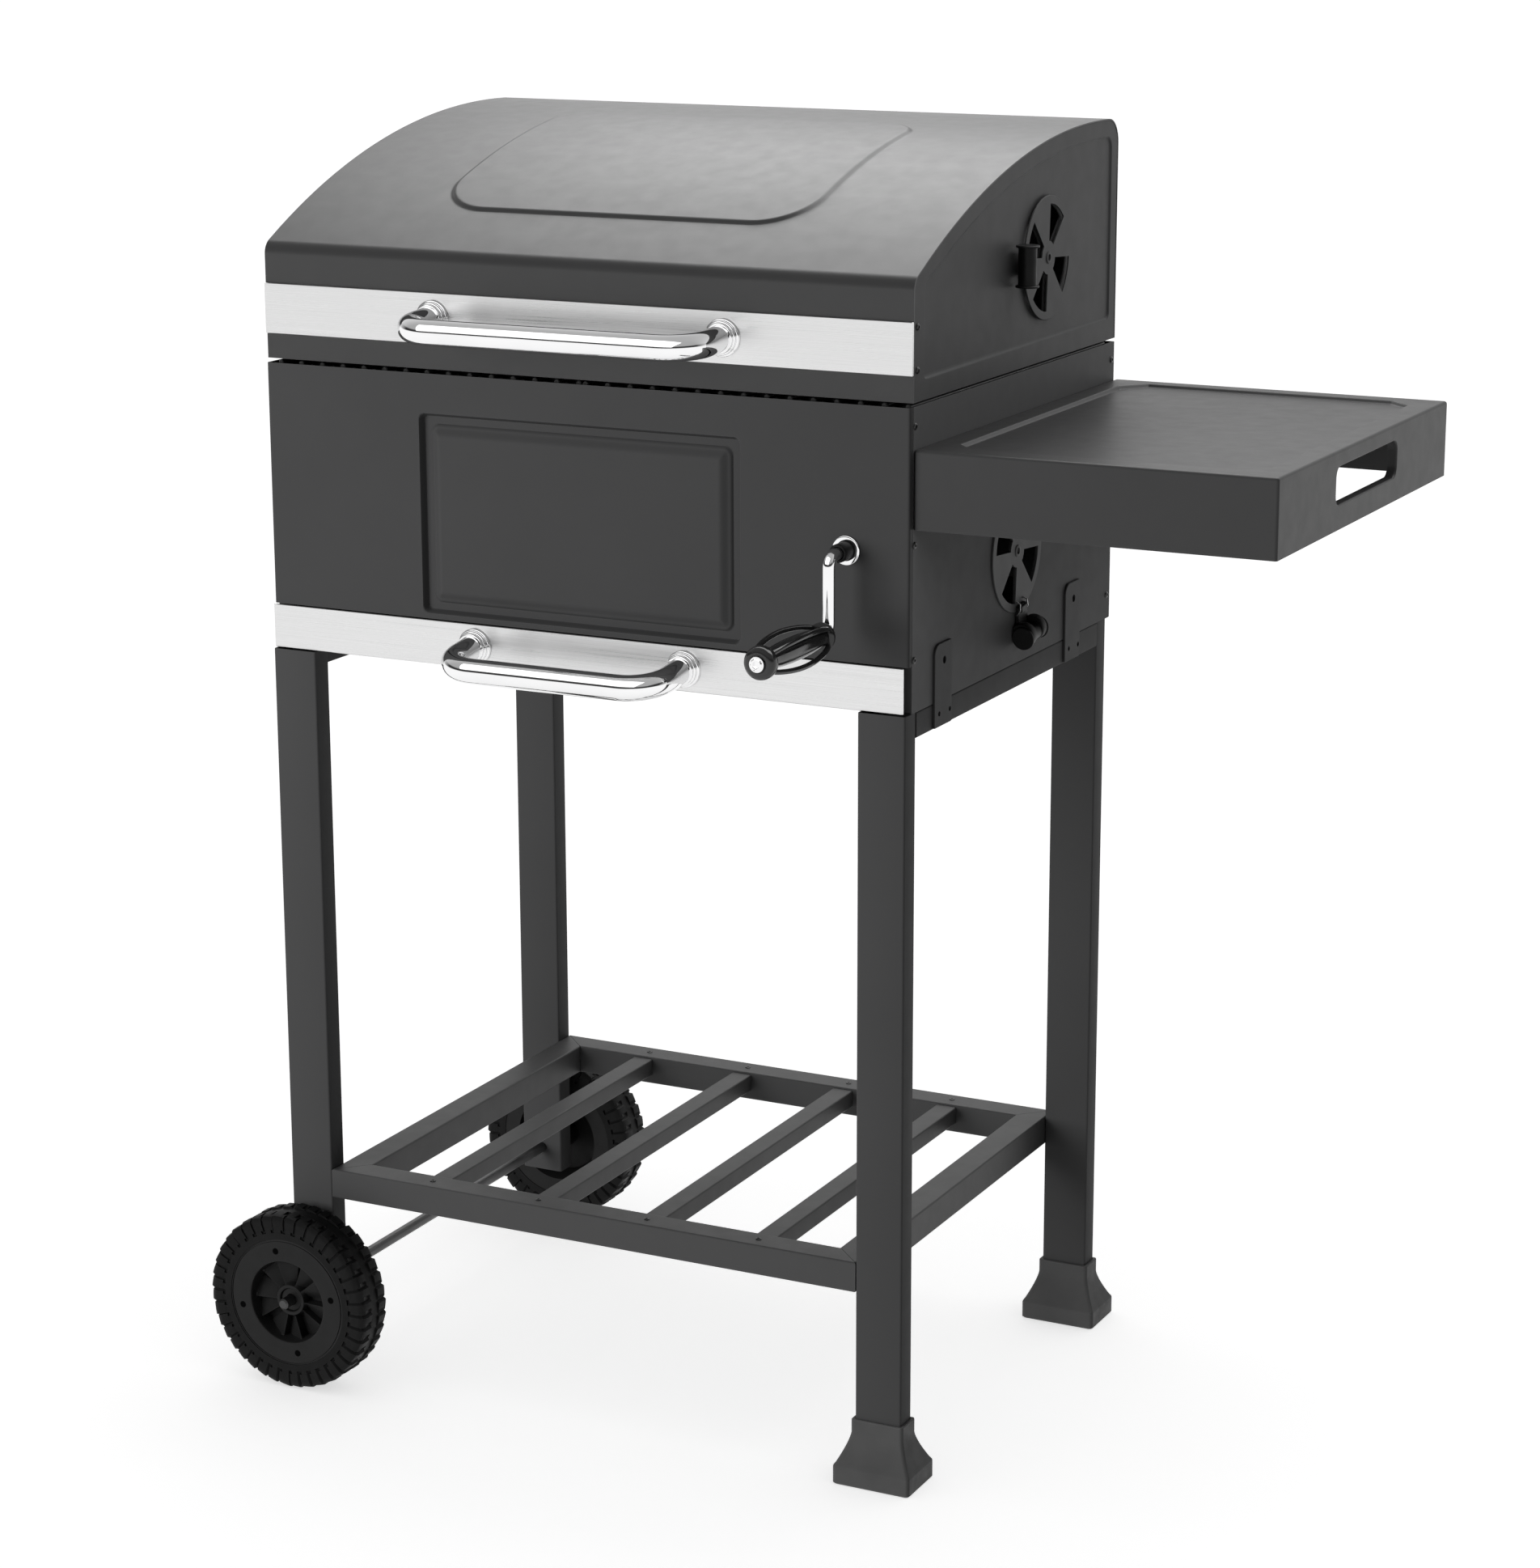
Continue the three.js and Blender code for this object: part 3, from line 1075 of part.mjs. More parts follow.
addLegs();
addFeet();
addSideRails();
addBrackets();
addShelf();
addWheels();
addFireboxPanels();
addCookingGrates();
addSideTable();
addDrawerRunners();
addAshDrawer();
addLid();
addHinges();
addDamper("lid_damper", LID_X, LID_DAMPER_Y, LID_DAMPER_Z, LID_GRIP_REACH, 180);
addDamper("firebox_damper", BOX_X, BOX_DAMPER_Y, BOX_DAMPER_Z, BOX_GRIP_REACH, -82);
addCrank();
addLift();
addCharcoalPan();

// The origin is the bottom centre of the bounding box.
const box = new THREE.Box3().setFromObject(grill);
const centre = box.getCenter(new THREE.Vector3());
grill.position.set(-centre.x, -centre.y, -box.min.z);

export default grill;
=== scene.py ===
import json
import math

import bmesh
import bpy
from mathutils import Matrix, Vector
from mathutils.geometry import tessellate_polygon

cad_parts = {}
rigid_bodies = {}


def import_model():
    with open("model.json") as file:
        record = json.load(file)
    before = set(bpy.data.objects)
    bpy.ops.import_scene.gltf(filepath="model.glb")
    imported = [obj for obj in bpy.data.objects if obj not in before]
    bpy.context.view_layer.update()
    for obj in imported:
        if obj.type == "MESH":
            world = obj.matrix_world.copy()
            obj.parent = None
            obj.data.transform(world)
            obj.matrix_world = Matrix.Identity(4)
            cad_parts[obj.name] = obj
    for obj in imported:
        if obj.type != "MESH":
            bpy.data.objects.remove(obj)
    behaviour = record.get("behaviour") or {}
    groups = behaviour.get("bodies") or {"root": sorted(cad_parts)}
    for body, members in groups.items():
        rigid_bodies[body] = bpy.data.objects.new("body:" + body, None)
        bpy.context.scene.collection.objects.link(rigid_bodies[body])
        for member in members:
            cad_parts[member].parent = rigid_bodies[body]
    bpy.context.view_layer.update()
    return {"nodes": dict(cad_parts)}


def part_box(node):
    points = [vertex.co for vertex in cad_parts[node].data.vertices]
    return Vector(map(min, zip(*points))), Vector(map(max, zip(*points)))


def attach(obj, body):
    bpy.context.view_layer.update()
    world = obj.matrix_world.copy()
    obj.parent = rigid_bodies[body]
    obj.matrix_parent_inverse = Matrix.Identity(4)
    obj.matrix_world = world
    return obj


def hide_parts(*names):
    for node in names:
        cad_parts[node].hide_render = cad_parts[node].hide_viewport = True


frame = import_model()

scene = bpy.context.scene

# Shapes are made in millimetres in the firebox frame: X = 0 and Y = 0 at the firebox's middle,
# Z = 0 on the ground. piece() turns them into metres in the row frame. Lights are in metres.
MM = 0.001
SIDES = (("left", -1), ("right", 1))


def firebox_middle():
    front_low, front_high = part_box("firebox_front_panel")
    back_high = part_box("firebox_back_panel")[1]
    return Vector(((front_low.x + front_high.x) / 2, (front_low.y + back_high.y) / 2, 0))


SHIFT = firebox_middle()


def box(node):
    low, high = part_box(node)
    return (low - SHIFT) / MM, (high - SHIFT) / MM


def middle(low, high):
    """The middle of a box, as three plain numbers."""
    return tuple((a + b) / 2 for a, b in zip(low, high))


# ---- materials

def add_node(tree, kind, **values):
    """A new node. Each value sets the input of that name, where _ stands for a space."""
    made = tree.nodes.new(f"ShaderNode{kind}")
    for name, value in values.items():
        made.inputs[name.replace("_", " ")].default_value = value
    return made


class Shader:
    """A material, and the nodes that lead to its Principled shader."""

    def __init__(self, name, colour, roughness, metallic=0.0, specular=0.5):
        self.material = bpy.data.materials.new(name)
        self.material.use_nodes = True
        self.tree = self.material.node_tree
        self.link = self.tree.links.new
        self.inputs = self.tree.nodes["Principled BSDF"].inputs
        self.inputs["Base Color"].default_value = (*colour, 1)
        self.inputs["Roughness"].default_value = roughness
        self.inputs["Metallic"].default_value = metallic
        self.inputs["Specular IOR Level"].default_value = specular

    def node(self, kind, **values):
        return add_node(self.tree, kind, **values)

    def noise(self, scale, detail=3.0, stretch=(1, 1, 1)):
        """A noise over the object's own coordinates, long along an axis where a share is small."""
        mapping = self.node("Mapping", Scale=stretch)
        texture = self.node("TexNoise", Scale=scale, Detail=detail)
        self.link(self.node("TexCoord").outputs["Object"], mapping.inputs["Vector"])
        self.link(mapping.outputs["Vector"], texture.inputs["Vector"])
        return texture.outputs["Fac"]

    def ranged(self, value, low, high, start=0.3, end=0.7):
        node = self.node("MapRange", From_Min=start, From_Max=end, To_Min=low, To_Max=high)
        self.link(value, node.inputs["Value"])
        return node.outputs["Result"]

    def mixed(self, share, first, second):
        """A colour between two, which are colours or sockets."""
        node = self.node("Mix")
        node.data_type = "RGBA"
        self.link(share, node.inputs[0])
        for socket, value in ((node.inputs[6], first), (node.inputs[7], second)):
            if isinstance(value, tuple):
                socket.default_value = (*value, 1)
            else:
                self.link(value, socket)
        return node.outputs[2]

    def edge_highlight_mask(self):
        """0 on flat surfaces, up to 1 along edges: where a painted highlight lightens the edges."""
        rounded = self.node("Bevel", Radius=0.0009)
        rounded.samples = 4
        turned = self.node("VectorMath")
        turned.operation = "DOT_PRODUCT"
        self.link(rounded.outputs["Normal"], turned.inputs[0])
        self.link(self.node("NewGeometry").outputs["Normal"], turned.inputs[1])
        return self.ranged(turned.outputs["Value"], 0.0, 1.0, 0.985, 0.8)

    def finish(self, colour, roughness, height=None, depth=0.0):
        """Leads a colour, a roughness and, where there is a height, a bump to the shader."""
        self.link(colour, self.inputs["Base Color"])
        self.link(roughness, self.inputs["Roughness"])
        if height is not None:
            bump = self.node("Bump", Distance=depth, Strength=1.0)
            self.link(height, bump.inputs["Height"])
            self.link(bump.outputs["Normal"], self.inputs["Normal"])
        return self.material


def tint(colour, share):
    return tuple(channel * share for channel in colour)


def painted(name, level, roughness, specular, grain=0.00003):
    """Satin paint: fine orange peel, patches of different sheen, and edges lightened as a painted
    highlight.
    """
    colour = (level, level, level * 1.01)
    shader = Shader(name, colour, roughness, specular=specular)
    patches = shader.mixed(shader.noise(7.0), tint(colour, 0.93), tint(colour, 1.07))
    # Edges are made half again as light: a painted highlight.
    with_edge_highlight = shader.mixed(shader.edge_highlight_mask(), patches, tint(colour, 1.5))
    sheen = shader.ranged(shader.noise(60.0), roughness - 0.02, roughness + 0.025)
    return shader.finish(with_edge_highlight, sheen, shader.noise(900.0, 2.0), grain)


def plastic(name, level, roughness, grain, specular):
    """Moulded plastic or enamel: mottled, with a fine grain and edges lightened as a painted
    highlight.
    """
    colour = (level, level, level)
    shader = Shader(name, colour, roughness, specular=specular)
    mottled = shader.mixed(shader.noise(30.0), tint(colour, 0.8), tint(colour, 1.25))
    # Edges are made over twice as light: a painted highlight.
    with_edge_highlight = shader.mixed(shader.edge_highlight_mask(), mottled, tint(colour, 2.2))
    sheen = shader.ranged(shader.noise(90.0), roughness - 0.07, roughness + 0.08)
    return shader.finish(with_edge_highlight, sheen, shader.noise(1600.0, 2.0), grain)


def metal(name, level, low, high):
    """Plain metal, whose roughness wanders between two values."""
    colour = (level, level, level * 1.005)
    shader = Shader(name, colour, high, metallic=1.0)
    clouds = shader.mixed(shader.noise(25.0), tint(colour, 0.95), tint(colour, 1.03))
    return shader.finish(clouds, shader.ranged(shader.noise(45.0), low, high))


def brushed(name, level):
    """Stainless steel brushed along X."""
    colour = (level, level, level)
    shader = Shader(name, colour, 0.3, metallic=1.0)
    streaks = shader.noise(1.0, 4.0, (9, 700, 1700))
    long_streaks = shader.noise(1.0, 3.0, (2.5, 250, 520))
    fine = shader.mixed(shader.ranged(streaks, 0.0, 1.0), tint(colour, 0.78), tint(colour, 1.1))
    shaded = shader.mixed(shader.ranged(long_streaks, 0.0, 1.0), tint(colour, 0.96), fine)
    return shader.finish(shaded, shader.ranged(streaks, 0.24, 0.4), streaks, 0.00002)


PAINT = painted("firebox_paint", 0.02, 0.5, 0.08)
# A darker copy of the firebox paint for the firebox sides: painted shade.
SHADED_SIDE_PAINT = painted("shaded_side_paint", 0.016, 0.5, 0.07)
LID_PAINT = painted("lid_paint", 0.009, 0.4, 0.5, grain=0.000015)
# A lighter copy of the firebox paint for the lid ends and the damper slides: painted light.
LIT_END_PAINT = painted("lit_end_paint", 0.032, 0.48, 0.12)
STAND_PAINT = painted("stand_paint", 0.022, 0.55, 0.07)
SHELF_PAINT = painted("shelf_paint", 0.018, 0.48, 0.34)
TABLE_PAINT = painted("table_paint", 0.016, 0.42, 0.21)
SCREW_BLACK = metal("black_screws", 0.05, 0.3, 0.45)
ENAMEL = plastic("black_enamel", 0.016, 0.32, 0.00002, specular=0.5)
STAINLESS = brushed("brushed_steel", 0.8)
CHROME = metal("chrome", 0.88, 0.042, 0.055)
ZINC = metal("zinc", 0.42, 0.3, 0.46)
AXLE_STEEL = metal("axle_steel", 0.09, 0.35, 0.5)
PLASTIC = plastic("black_plastic", 0.004, 0.44, 0.00004, specular=0.15)
RUBBER = plastic("tread_plastic", 0.0025, 0.5, 0.00005, specular=0.1)
# A near-black that stands in for the shade inside holes: painted shade.
HOLE_SHADE_BLACK = plastic("painted_hole_shade", 0.0006, 0.8, 0.00002, specular=0.02)
FOOT_PLASTIC = plastic("foot_plastic", 0.028, 0.46, 0.00004, specular=0.12)
GLOSS = plastic("gloss_plastic", 0.006, 0.14, 0.000005, specular=0.5)


# ---- mesh helpers

def piece(name, bm, material, body, slot, nodes=(), smooth=38, bevel=0.0):
    """A finished piece from a bmesh. It replaces the CAD nodes that are given, if any."""
    bmesh.ops.remove_doubles(bm, verts=bm.verts, dist=0.001)
    bmesh.ops.recalc_face_normals(bm, faces=bm.faces)
    for vertex in bm.verts:
        vertex.co = vertex.co * MM + SHIFT
    mesh = bpy.data.meshes.new(name)
    bm.to_mesh(mesh)
    bm.free()
    mesh.materials.append(material)
    mesh.shade_smooth()
    mesh.set_sharp_from_angle(angle=math.radians(smooth))
    thing = bpy.data.objects.new(name, mesh)
    scene.collection.objects.link(thing)
    if bevel:
        modifier = thing.modifiers.new("edges", "BEVEL")
        modifier.width = bevel * MM
        modifier.segments = 2
        modifier.angle_limit = math.radians(smooth)
        modifier.harden_normals = True
    else:
        modifier = thing.modifiers.new("flat_faces", "WEIGHTED_NORMAL")
        modifier.keep_sharp = True
    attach(thing, body)
    if nodes:
        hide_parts(*nodes)


def stand_in(node, suffix, *rest, **more):
    """A piece that replaces one CAD node and is named after it."""
    piece(f"{node}_{suffix}", *rest, nodes=[node], **more)


def skin(bm, loops, capped=False):
    """Faces between closed loops of equal length. capped fills the end loops."""
    rings = [[bm.verts.new(p) for p in loop] for loop in loops]
    count = len(rings[0])
    for a, b in zip(rings, rings[1:]):
        for i in range(count):
            j = (i + 1) % count
            bm.faces.new((a[i], a[j], b[j], b[i]))
    if capped:
        bm.faces.new(rings[0][::-1])
        bm.faces.new(rings[-1])


def rounded_loop(half_u, half_v, radius, steps=4):
    points = []
    for su, sv, start in ((1, 1, 0), (-1, 1, 90), (-1, -1, 180), (1, -1, 270)):
        for i in range(steps + 1):
            angle = math.radians(start + 90 * i / steps)
            u = su * (half_u - radius) + radius * math.cos(angle)
            v = sv * (half_v - radius) + radius * math.sin(angle)
            points.append((u, v))
    return points


def placed(axis, u, v, w):
    """A point from two coordinates across an axis, in X, Y, Z order, and one along it."""
    return Vector({"x": (w, u, v), "y": (u, w, v), "z": (u, v, w)}[axis])


def hollow_bar(bm, axis, low, high, wall, radius, mitre=None):
    """A rounded tube that fills a box. mitre(u, v, end) moves a section's points along the axis."""
    w = "xyz".index(axis)
    a, b = (i for i in range(3) if i != w)
    cu, cv = (low[a] + high[a]) / 2, (low[b] + high[b]) / 2
    hu, hv = (high[a] - low[a]) / 2, (high[b] - low[b]) / 2
    outer = rounded_loop(hu, hv, radius)
    inner = rounded_loop(hu - wall, hv - wall, max(radius - wall, 0.4))
    loops = []
    for section, end in ((outer, -1), (outer, 1), (inner, 1), (inner, -1), (outer, -1)):
        at = low[w] if end < 0 else high[w]
        loop = []
        for u, v in section:
            shift = mitre(cu + u, cv + v, end) if mitre else 0
            loop.append(placed(axis, cu + u, cv + v, at + shift))
        loops.append(loop)
    skin(bm, loops)


def polar(axis, centre, radius, angle, w):
    """A point at a radius and an angle round an axis."""
    u, v = centre[0] + radius * math.cos(angle), centre[1] + radius * math.sin(angle)
    return placed(axis, u, v, w)


def lathe(bm, axis, centre, profile, segments, wobble=None):
    """A turned shape round an axis. The profile is a list of (radius, place along the axis).

    wobble(angle, radius) changes the radius round the axis.
    """
    loops = []
    for radius, w in profile:
        loop = []
        for i in range(segments):
            angle = 2 * math.pi * i / segments
            r = wobble(angle, radius) if wobble else radius
            loop.append(polar(axis, centre, r, angle, w))
        loops.append(loop)
    skin(bm, loops)
    bmesh.ops.remove_doubles(bm, verts=bm.verts, dist=0.0005)


def arc(cu, cv, radius, start, end, steps):
    points = []
    for i in range(steps + 1):
        angle = math.radians(start + (end - start) * i / steps)
        points.append((cu + radius * math.cos(angle), cv + radius * math.sin(angle)))
    return points


def fillet(corners, radius, steps):
    """A 3D path with its inner corners rounded."""
    corners = [Vector(c) for c in corners]
    path = [corners[0]]
    for before, corner, after in zip(corners, corners[1:], corners[2:]):
        back, on = (before - corner).normalized(), (after - corner).normalized()
        half = back.angle(on) / 2
        centre = corner + (back + on).normalized() * (radius / math.sin(half))
        start = corner + back * (radius / math.tan(half)) - centre
        turn = back.cross(on).normalized()
        for k in range(steps + 1):
            angle = -(math.pi - 2 * half) * k / steps
            path.append(centre + Matrix.Rotation(angle, 3, turn) @ start)
    path.append(corners[-1])
    return path


def tube(bm, path, radius, segments, flat=None):
    """A round tube along a path, or an oval one where flat is its second radius."""
    tangents = []
    for i in range(len(path)):
        tangents.append((path[min(i + 1, len(path) - 1)] - path[max(i - 1, 0)]).normalized())
    side = tangents[0].orthogonal().normalized()
    loops = []
    for point, tangent in zip(path, tangents):
        side = (side - tangent * side.dot(tangent)).normalized()
        up = tangent.cross(side)
        loop = []
        for i in range(segments):
            angle = 2 * math.pi * i / segments
            out = side * radius * math.cos(angle)
            loop.append(point + out + up * (flat or radius) * math.sin(angle))
        loops.append(loop)
    skin(bm, loops, capped=True)


def fill(bm, loops, to_point):
    """Triangles between an outline and its holes, all lists of (u, v)."""
    flat = [[Vector((u, v, 0)) for u, v in loop] for loop in loops]
    points = [to_point(p.x, p.y) for loop in flat for p in loop]
    verts = [bm.verts.new(p) for p in points]
    for triangle in tessellate_polygon(flat):
        corners = [verts[i] for i in triangle]
        if len(set(corners)) == 3:
            bm.faces.new(corners)


def plate(bm, axis, outline, holes, w0, w1, edge=0.0):
    """A flat plate with holes, from w0 to w1, and a small chamfer on its outline at w1."""
    inner = offset(outline, edge) if edge else outline
    step = edge if w1 > w0 else -edge
    fill(bm, [outline, *holes], lambda u, v: placed(axis, u, v, w0))
    fill(bm, [inner, *holes], lambda u, v: placed(axis, u, v, w1))
    sides = [[placed(axis, u, v, w0) for u, v in outline]]
    if edge:
        sides.append([placed(axis, u, v, w1 - step) for u, v in outline])
    sides.append([placed(axis, u, v, w1) for u, v in inner])
    skin(bm, sides)
    for hole in holes:
        skin(bm, [[placed(axis, u, v, w) for u, v in hole] for w in (w0, w1)])
    bmesh.ops.remove_doubles(bm, verts=bm.verts, dist=0.0005)


def offset(outline, distance):
    """The outline moved inwards by a distance, point by point."""
    count = len(outline)
    pairs = [(outline[i], outline[(i + 1) % count]) for i in range(count)]
    area = sum(a[0] * b[1] - b[0] * a[1] for a, b in pairs)
    moved = []
    for i in range(count):
        before, here, after = (Vector(outline[(i + k) % count]) for k in (-1, 0, 1))
        first, second = (here - before).normalized(), (after - here).normalized()
        normal = (first + second).normalized()
        inwards = Vector((-normal.y, normal.x)) * (1 if area > 0 else -1)
        stretch = max(math.cos(first.angle(second) / 2), 0.5)
        moved.append(tuple(here + inwards * distance / stretch))
    return moved


def round_outline(corners, radii, steps=6):
    """A closed outline with rounded corners, from (u, v) corners and their radii."""
    count = len(corners)
    points = []
    for i, radius in enumerate(radii):
        before, here, after = (Vector(corners[(i + k) % count]) for k in (-1, 0, 1))
        back, on = (before - here).normalized(), (after - here).normalized()
        half = back.angle(on) / 2
        if radius <= 0 or half > 1.5:
            points.append(tuple(here))
            continue
        centre = here + (back + on).normalized() * (radius / math.sin(half))
        start = here + back * (radius / math.tan(half)) - centre
        end = here + on * (radius / math.tan(half)) - centre
        sweep = math.atan2(start.x * end.y - start.y * end.x, start.dot(end))
        for k in range(steps + 1):
            points.append(tuple(centre + Matrix.Rotation(sweep * k / steps, 2) @ start))
    return points


def sheet(bm, outer, inner):
    """A closed thin sheet from two grids of points."""
    a = [[bm.verts.new(p) for p in row] for row in outer]
    b = [[bm.verts.new(p) for p in row] for row in inner]
    rows, columns = len(a), len(a[0])
    for i in range(rows - 1):
        for j in range(columns - 1):
            bm.faces.new((a[i][j], a[i][j + 1], a[i + 1][j + 1], a[i + 1][j]))
            bm.faces.new((b[i][j], b[i + 1][j], b[i + 1][j + 1], b[i][j + 1]))
    for j in range(columns - 1):
        for i in (0, rows - 1):
            bm.faces.new((a[i][j], a[i][j + 1], b[i][j + 1], b[i][j]))
    for i in range(rows - 1):
        for j in (0, columns - 1):
            bm.faces.new((a[i][j], a[i + 1][j], b[i + 1][j], b[i][j]))


def lines(start, end, zones, fine, coarse):
    """Places from start to end, close together inside the zones."""
    places = [start]
    while places[-1] < end - 1e-6:
        here = places[-1]
        inside = any(a - 1e-6 <= here < b - 1e-6 for a, b in zones)
        step = fine if inside else coarse
        ahead = [a for a, _ in zones if here < a - 1e-6 < here + step]
        target = min([here + step, end, *ahead])
        places.append(target)
    return places


def rounded_distance(u, v, half_u, half_v, radius):
    """Distance from a rounded rectangle's edge, negative inside."""
    qu, qv = abs(u) - half_u + radius, abs(v) - half_v + radius
    return math.hypot(max(qu, 0), max(qv, 0)) + min(max(qu, qv), 0) - radius


def ease(t):
    t = min(max(t, 0), 1)
    return t * t * (3 - 2 * t)


def screw(bm, axis, u, v, w, out, radius, height):
    """A domed screw head with a socket, which stands on a face at w and points out (1 or -1)."""
    dome = [(1, -0.3), (1, height * 0.35), (0.92, height * 0.65), (0.72, height * 0.92)]
    socket = [(0.45, height), (0.42, height * 0.3), (0, height * 0.3)]
    lathe(bm, axis, (u, v), [(radius * r, w + out * d) for r, d in dome + socket], 18)


# ---- stand

BAR_WALL, BAR_CORNER = 1.5, 1.6


def build_stand():
    for side in ("left", "right"):
        bars = [(f"leg_{end}_{side}", "z", 1.8) for end in ("front", "back")]
        bars.append((f"side_rail_{side}", "y", BAR_CORNER))
        for node, axis, corner in bars:
            bm = bmesh.new()
            hollow_bar(bm, axis, *box(node), BAR_WALL, corner)
            stand_in(node, "tube", bm, STAND_PAINT, "stand", "stand_paint", bevel=0.25)


def build_shelf():
    front_low, front_high = box("shelf_rail_front")
    back_low, back_high = box("shelf_rail_back")
    width = front_high.y - front_low.y
    right = front_high.x

    def mitre_front(y, _, end):
        return -end * (y - front_low.y)

    def mitre_back(y, _, end):
        return -end * (back_high.y - y)

    def mitre_side(x, _, end):
        return -end * (right - abs(x))

    rails = [("front", "x", mitre_front), ("back", "x", mitre_back)]
    rails += [("left", "y", mitre_side), ("right", "y", mitre_side)]
    for side, axis, mitre in rails:
        node = f"shelf_rail_{side}"
        bm = bmesh.new()
        hollow_bar(bm, axis, *box(node), BAR_WALL, BAR_CORNER, mitre)
        stand_in(node, "tube", bm, SHELF_PAINT, "stand", "stand_paint")
    screws = bmesh.new()
    for i in range(1, 5):
        node = f"shelf_slat_{i}"
        low, high = box(node)
        bm = bmesh.new()
        hollow_bar(bm, "y", low, high, 1.2, 1.4)
        stand_in(node, "tube", bm, SHELF_PAINT, "stand", "stand_paint")
        for y in (front_low.y + width / 2, back_high.y - width / 2):
            screw(screws, "z", middle(low, high)[0], y, front_high.z, 1, 2.6, 0.9)
    piece("shelf_screws", screws, SCREW_BLACK, "stand", "zinc")


def build_feet():
    """Flared feet: a square base, a curved neck, and a collar round the leg."""
    base_top, neck_top, collar_top = 16.5, 44.0, 55.2
    for end in ("front", "back"):
        node = f"foot_{end}_right"
        low, high = box(node)
        leg_low, leg_high = box(f"leg_{end}_right")
        cx, cy, _ = middle(low, high)
        hx, hy = (high.x - low.x) / 2, (high.y - low.y) / 2
        collar_x, collar_y = (leg_high.x - leg_low.x) / 2 + 3, (leg_high.y - leg_low.y) / 2 + 3
        sections = [(hx - 1.2, hy - 1.2, 0), (hx, hy, 1.2), (hx, hy, 15.4)]
        for i in range(13):
            t = i / 12
            flare = (1 - t) ** 1.35
            shrink = 0.6 if i else 0.3
            sections.append((
                collar_x + (hx - shrink - collar_x) * flare,
                collar_y + (hy - shrink - collar_y) * flare,
                base_top + (neck_top - base_top) * t,
            ))
        rim = ((0, 45.4), (0, collar_top), (0.8, high.z), (2.6, high.z), (2.7, leg_low.z - 0.3))
        sections += [(collar_x - inset, collar_y - inset, z) for inset, z in rim]
        loops = []
        for half_x, half_y, z in sections:
            corner = 3.2 if z < collar_top + 0.8 else 1.2
            outline = rounded_loop(half_x, half_y, corner)
            loops.append([Vector((cx + u, cy + v, z)) for u, v in outline])
        bm = bmesh.new()
        skin(bm, loops, capped=True)
        stand_in(node, "shell", bm, FOOT_PLASTIC, "stand", "black_plastic", smooth=30)


def build_brackets():
    for side, sign in SIDES:
        for end in ("front", "back"):
            node = f"bracket_{end}_{side}"
            low, high = box(node)
            near, far = (low.x, high.x) if sign > 0 else (high.x, low.x)
            corners = [(low.y, low.z), (high.y, low.z), (high.y, high.z), (low.y, high.z)]
            outline = round_outline(corners, [1.5, 1.5, 2.5, 9])
            y, z = low.y + (high.y - low.y) * 0.55, low.z + 11
            bolts = ((y, z + 43, 3.3), (y - 9.5, z, 2.2), (y + 11.5, z, 2.2))
            holes = [arc(u, v, r, 0, 337.5, 15)[::-1] for u, v, r in bolts]
            bm = bmesh.new()
            plate(bm, "x", outline, holes, near, far, 0.5)
            stand_in(node, "plate", bm, PAINT, "stand", "firebox_paint")
            # Black bolts sit in the holes; their near-black colour is partly painted shade of the
            # holes.
            bm = bmesh.new()
            top = near + sign * 0.9
            for u, v, r in bolts:
                profile = [(0, near), (r - 0.15, near), (r - 0.3, top), (0, top)]
                lathe(bm, "x", (u, v), profile, 20)
            piece(f"{node}_bolts", bm, HOLE_SHADE_BLACK, "stand", "gloss_plastic")


# ---- wheels

LUGS = 40
SLIT_SHARE, HOOK_SHARE = 0.09, 0.33  # of one lug's length, as a slit and at the slit's hooked end
LUG_START = 66  # radius where the lugs begin


def lug_share(angle, phase):
    """How far along its lug an angle is, from 0 to 1."""
    return (angle * LUGS / (2 * math.pi) + phase) % 1.0


def tread_radius(angle, radius, across):
    """Lugs on both shoulders, half a lug apart, that overlap in the middle of the tread."""
    if 0.36 < across < 0.64:
        return radius - 2.0
    hook = 0.285 < across < 0.34 or 0.66 < across < 0.715
    share = lug_share(angle, 0.0 if across > 0.5 else 0.5)
    if share < (HOOK_SHARE if hook else SLIT_SHARE):
        return radius - 2.9
    return radius - 1.5 + 1.5 * share


def blade_depth(angle, floor):
    """Five spokes, with two slanting fan blades between them."""
    spoke, blade = 0.13, 0.435  # shares of the 72 degrees between two spokes
    turn = (math.degrees(angle) / 72) % 1.0
    if turn < spoke:
        return floor - 3.5
    return floor - 1.5 + 7.5 * ((turn - spoke) / blade % 1.0)


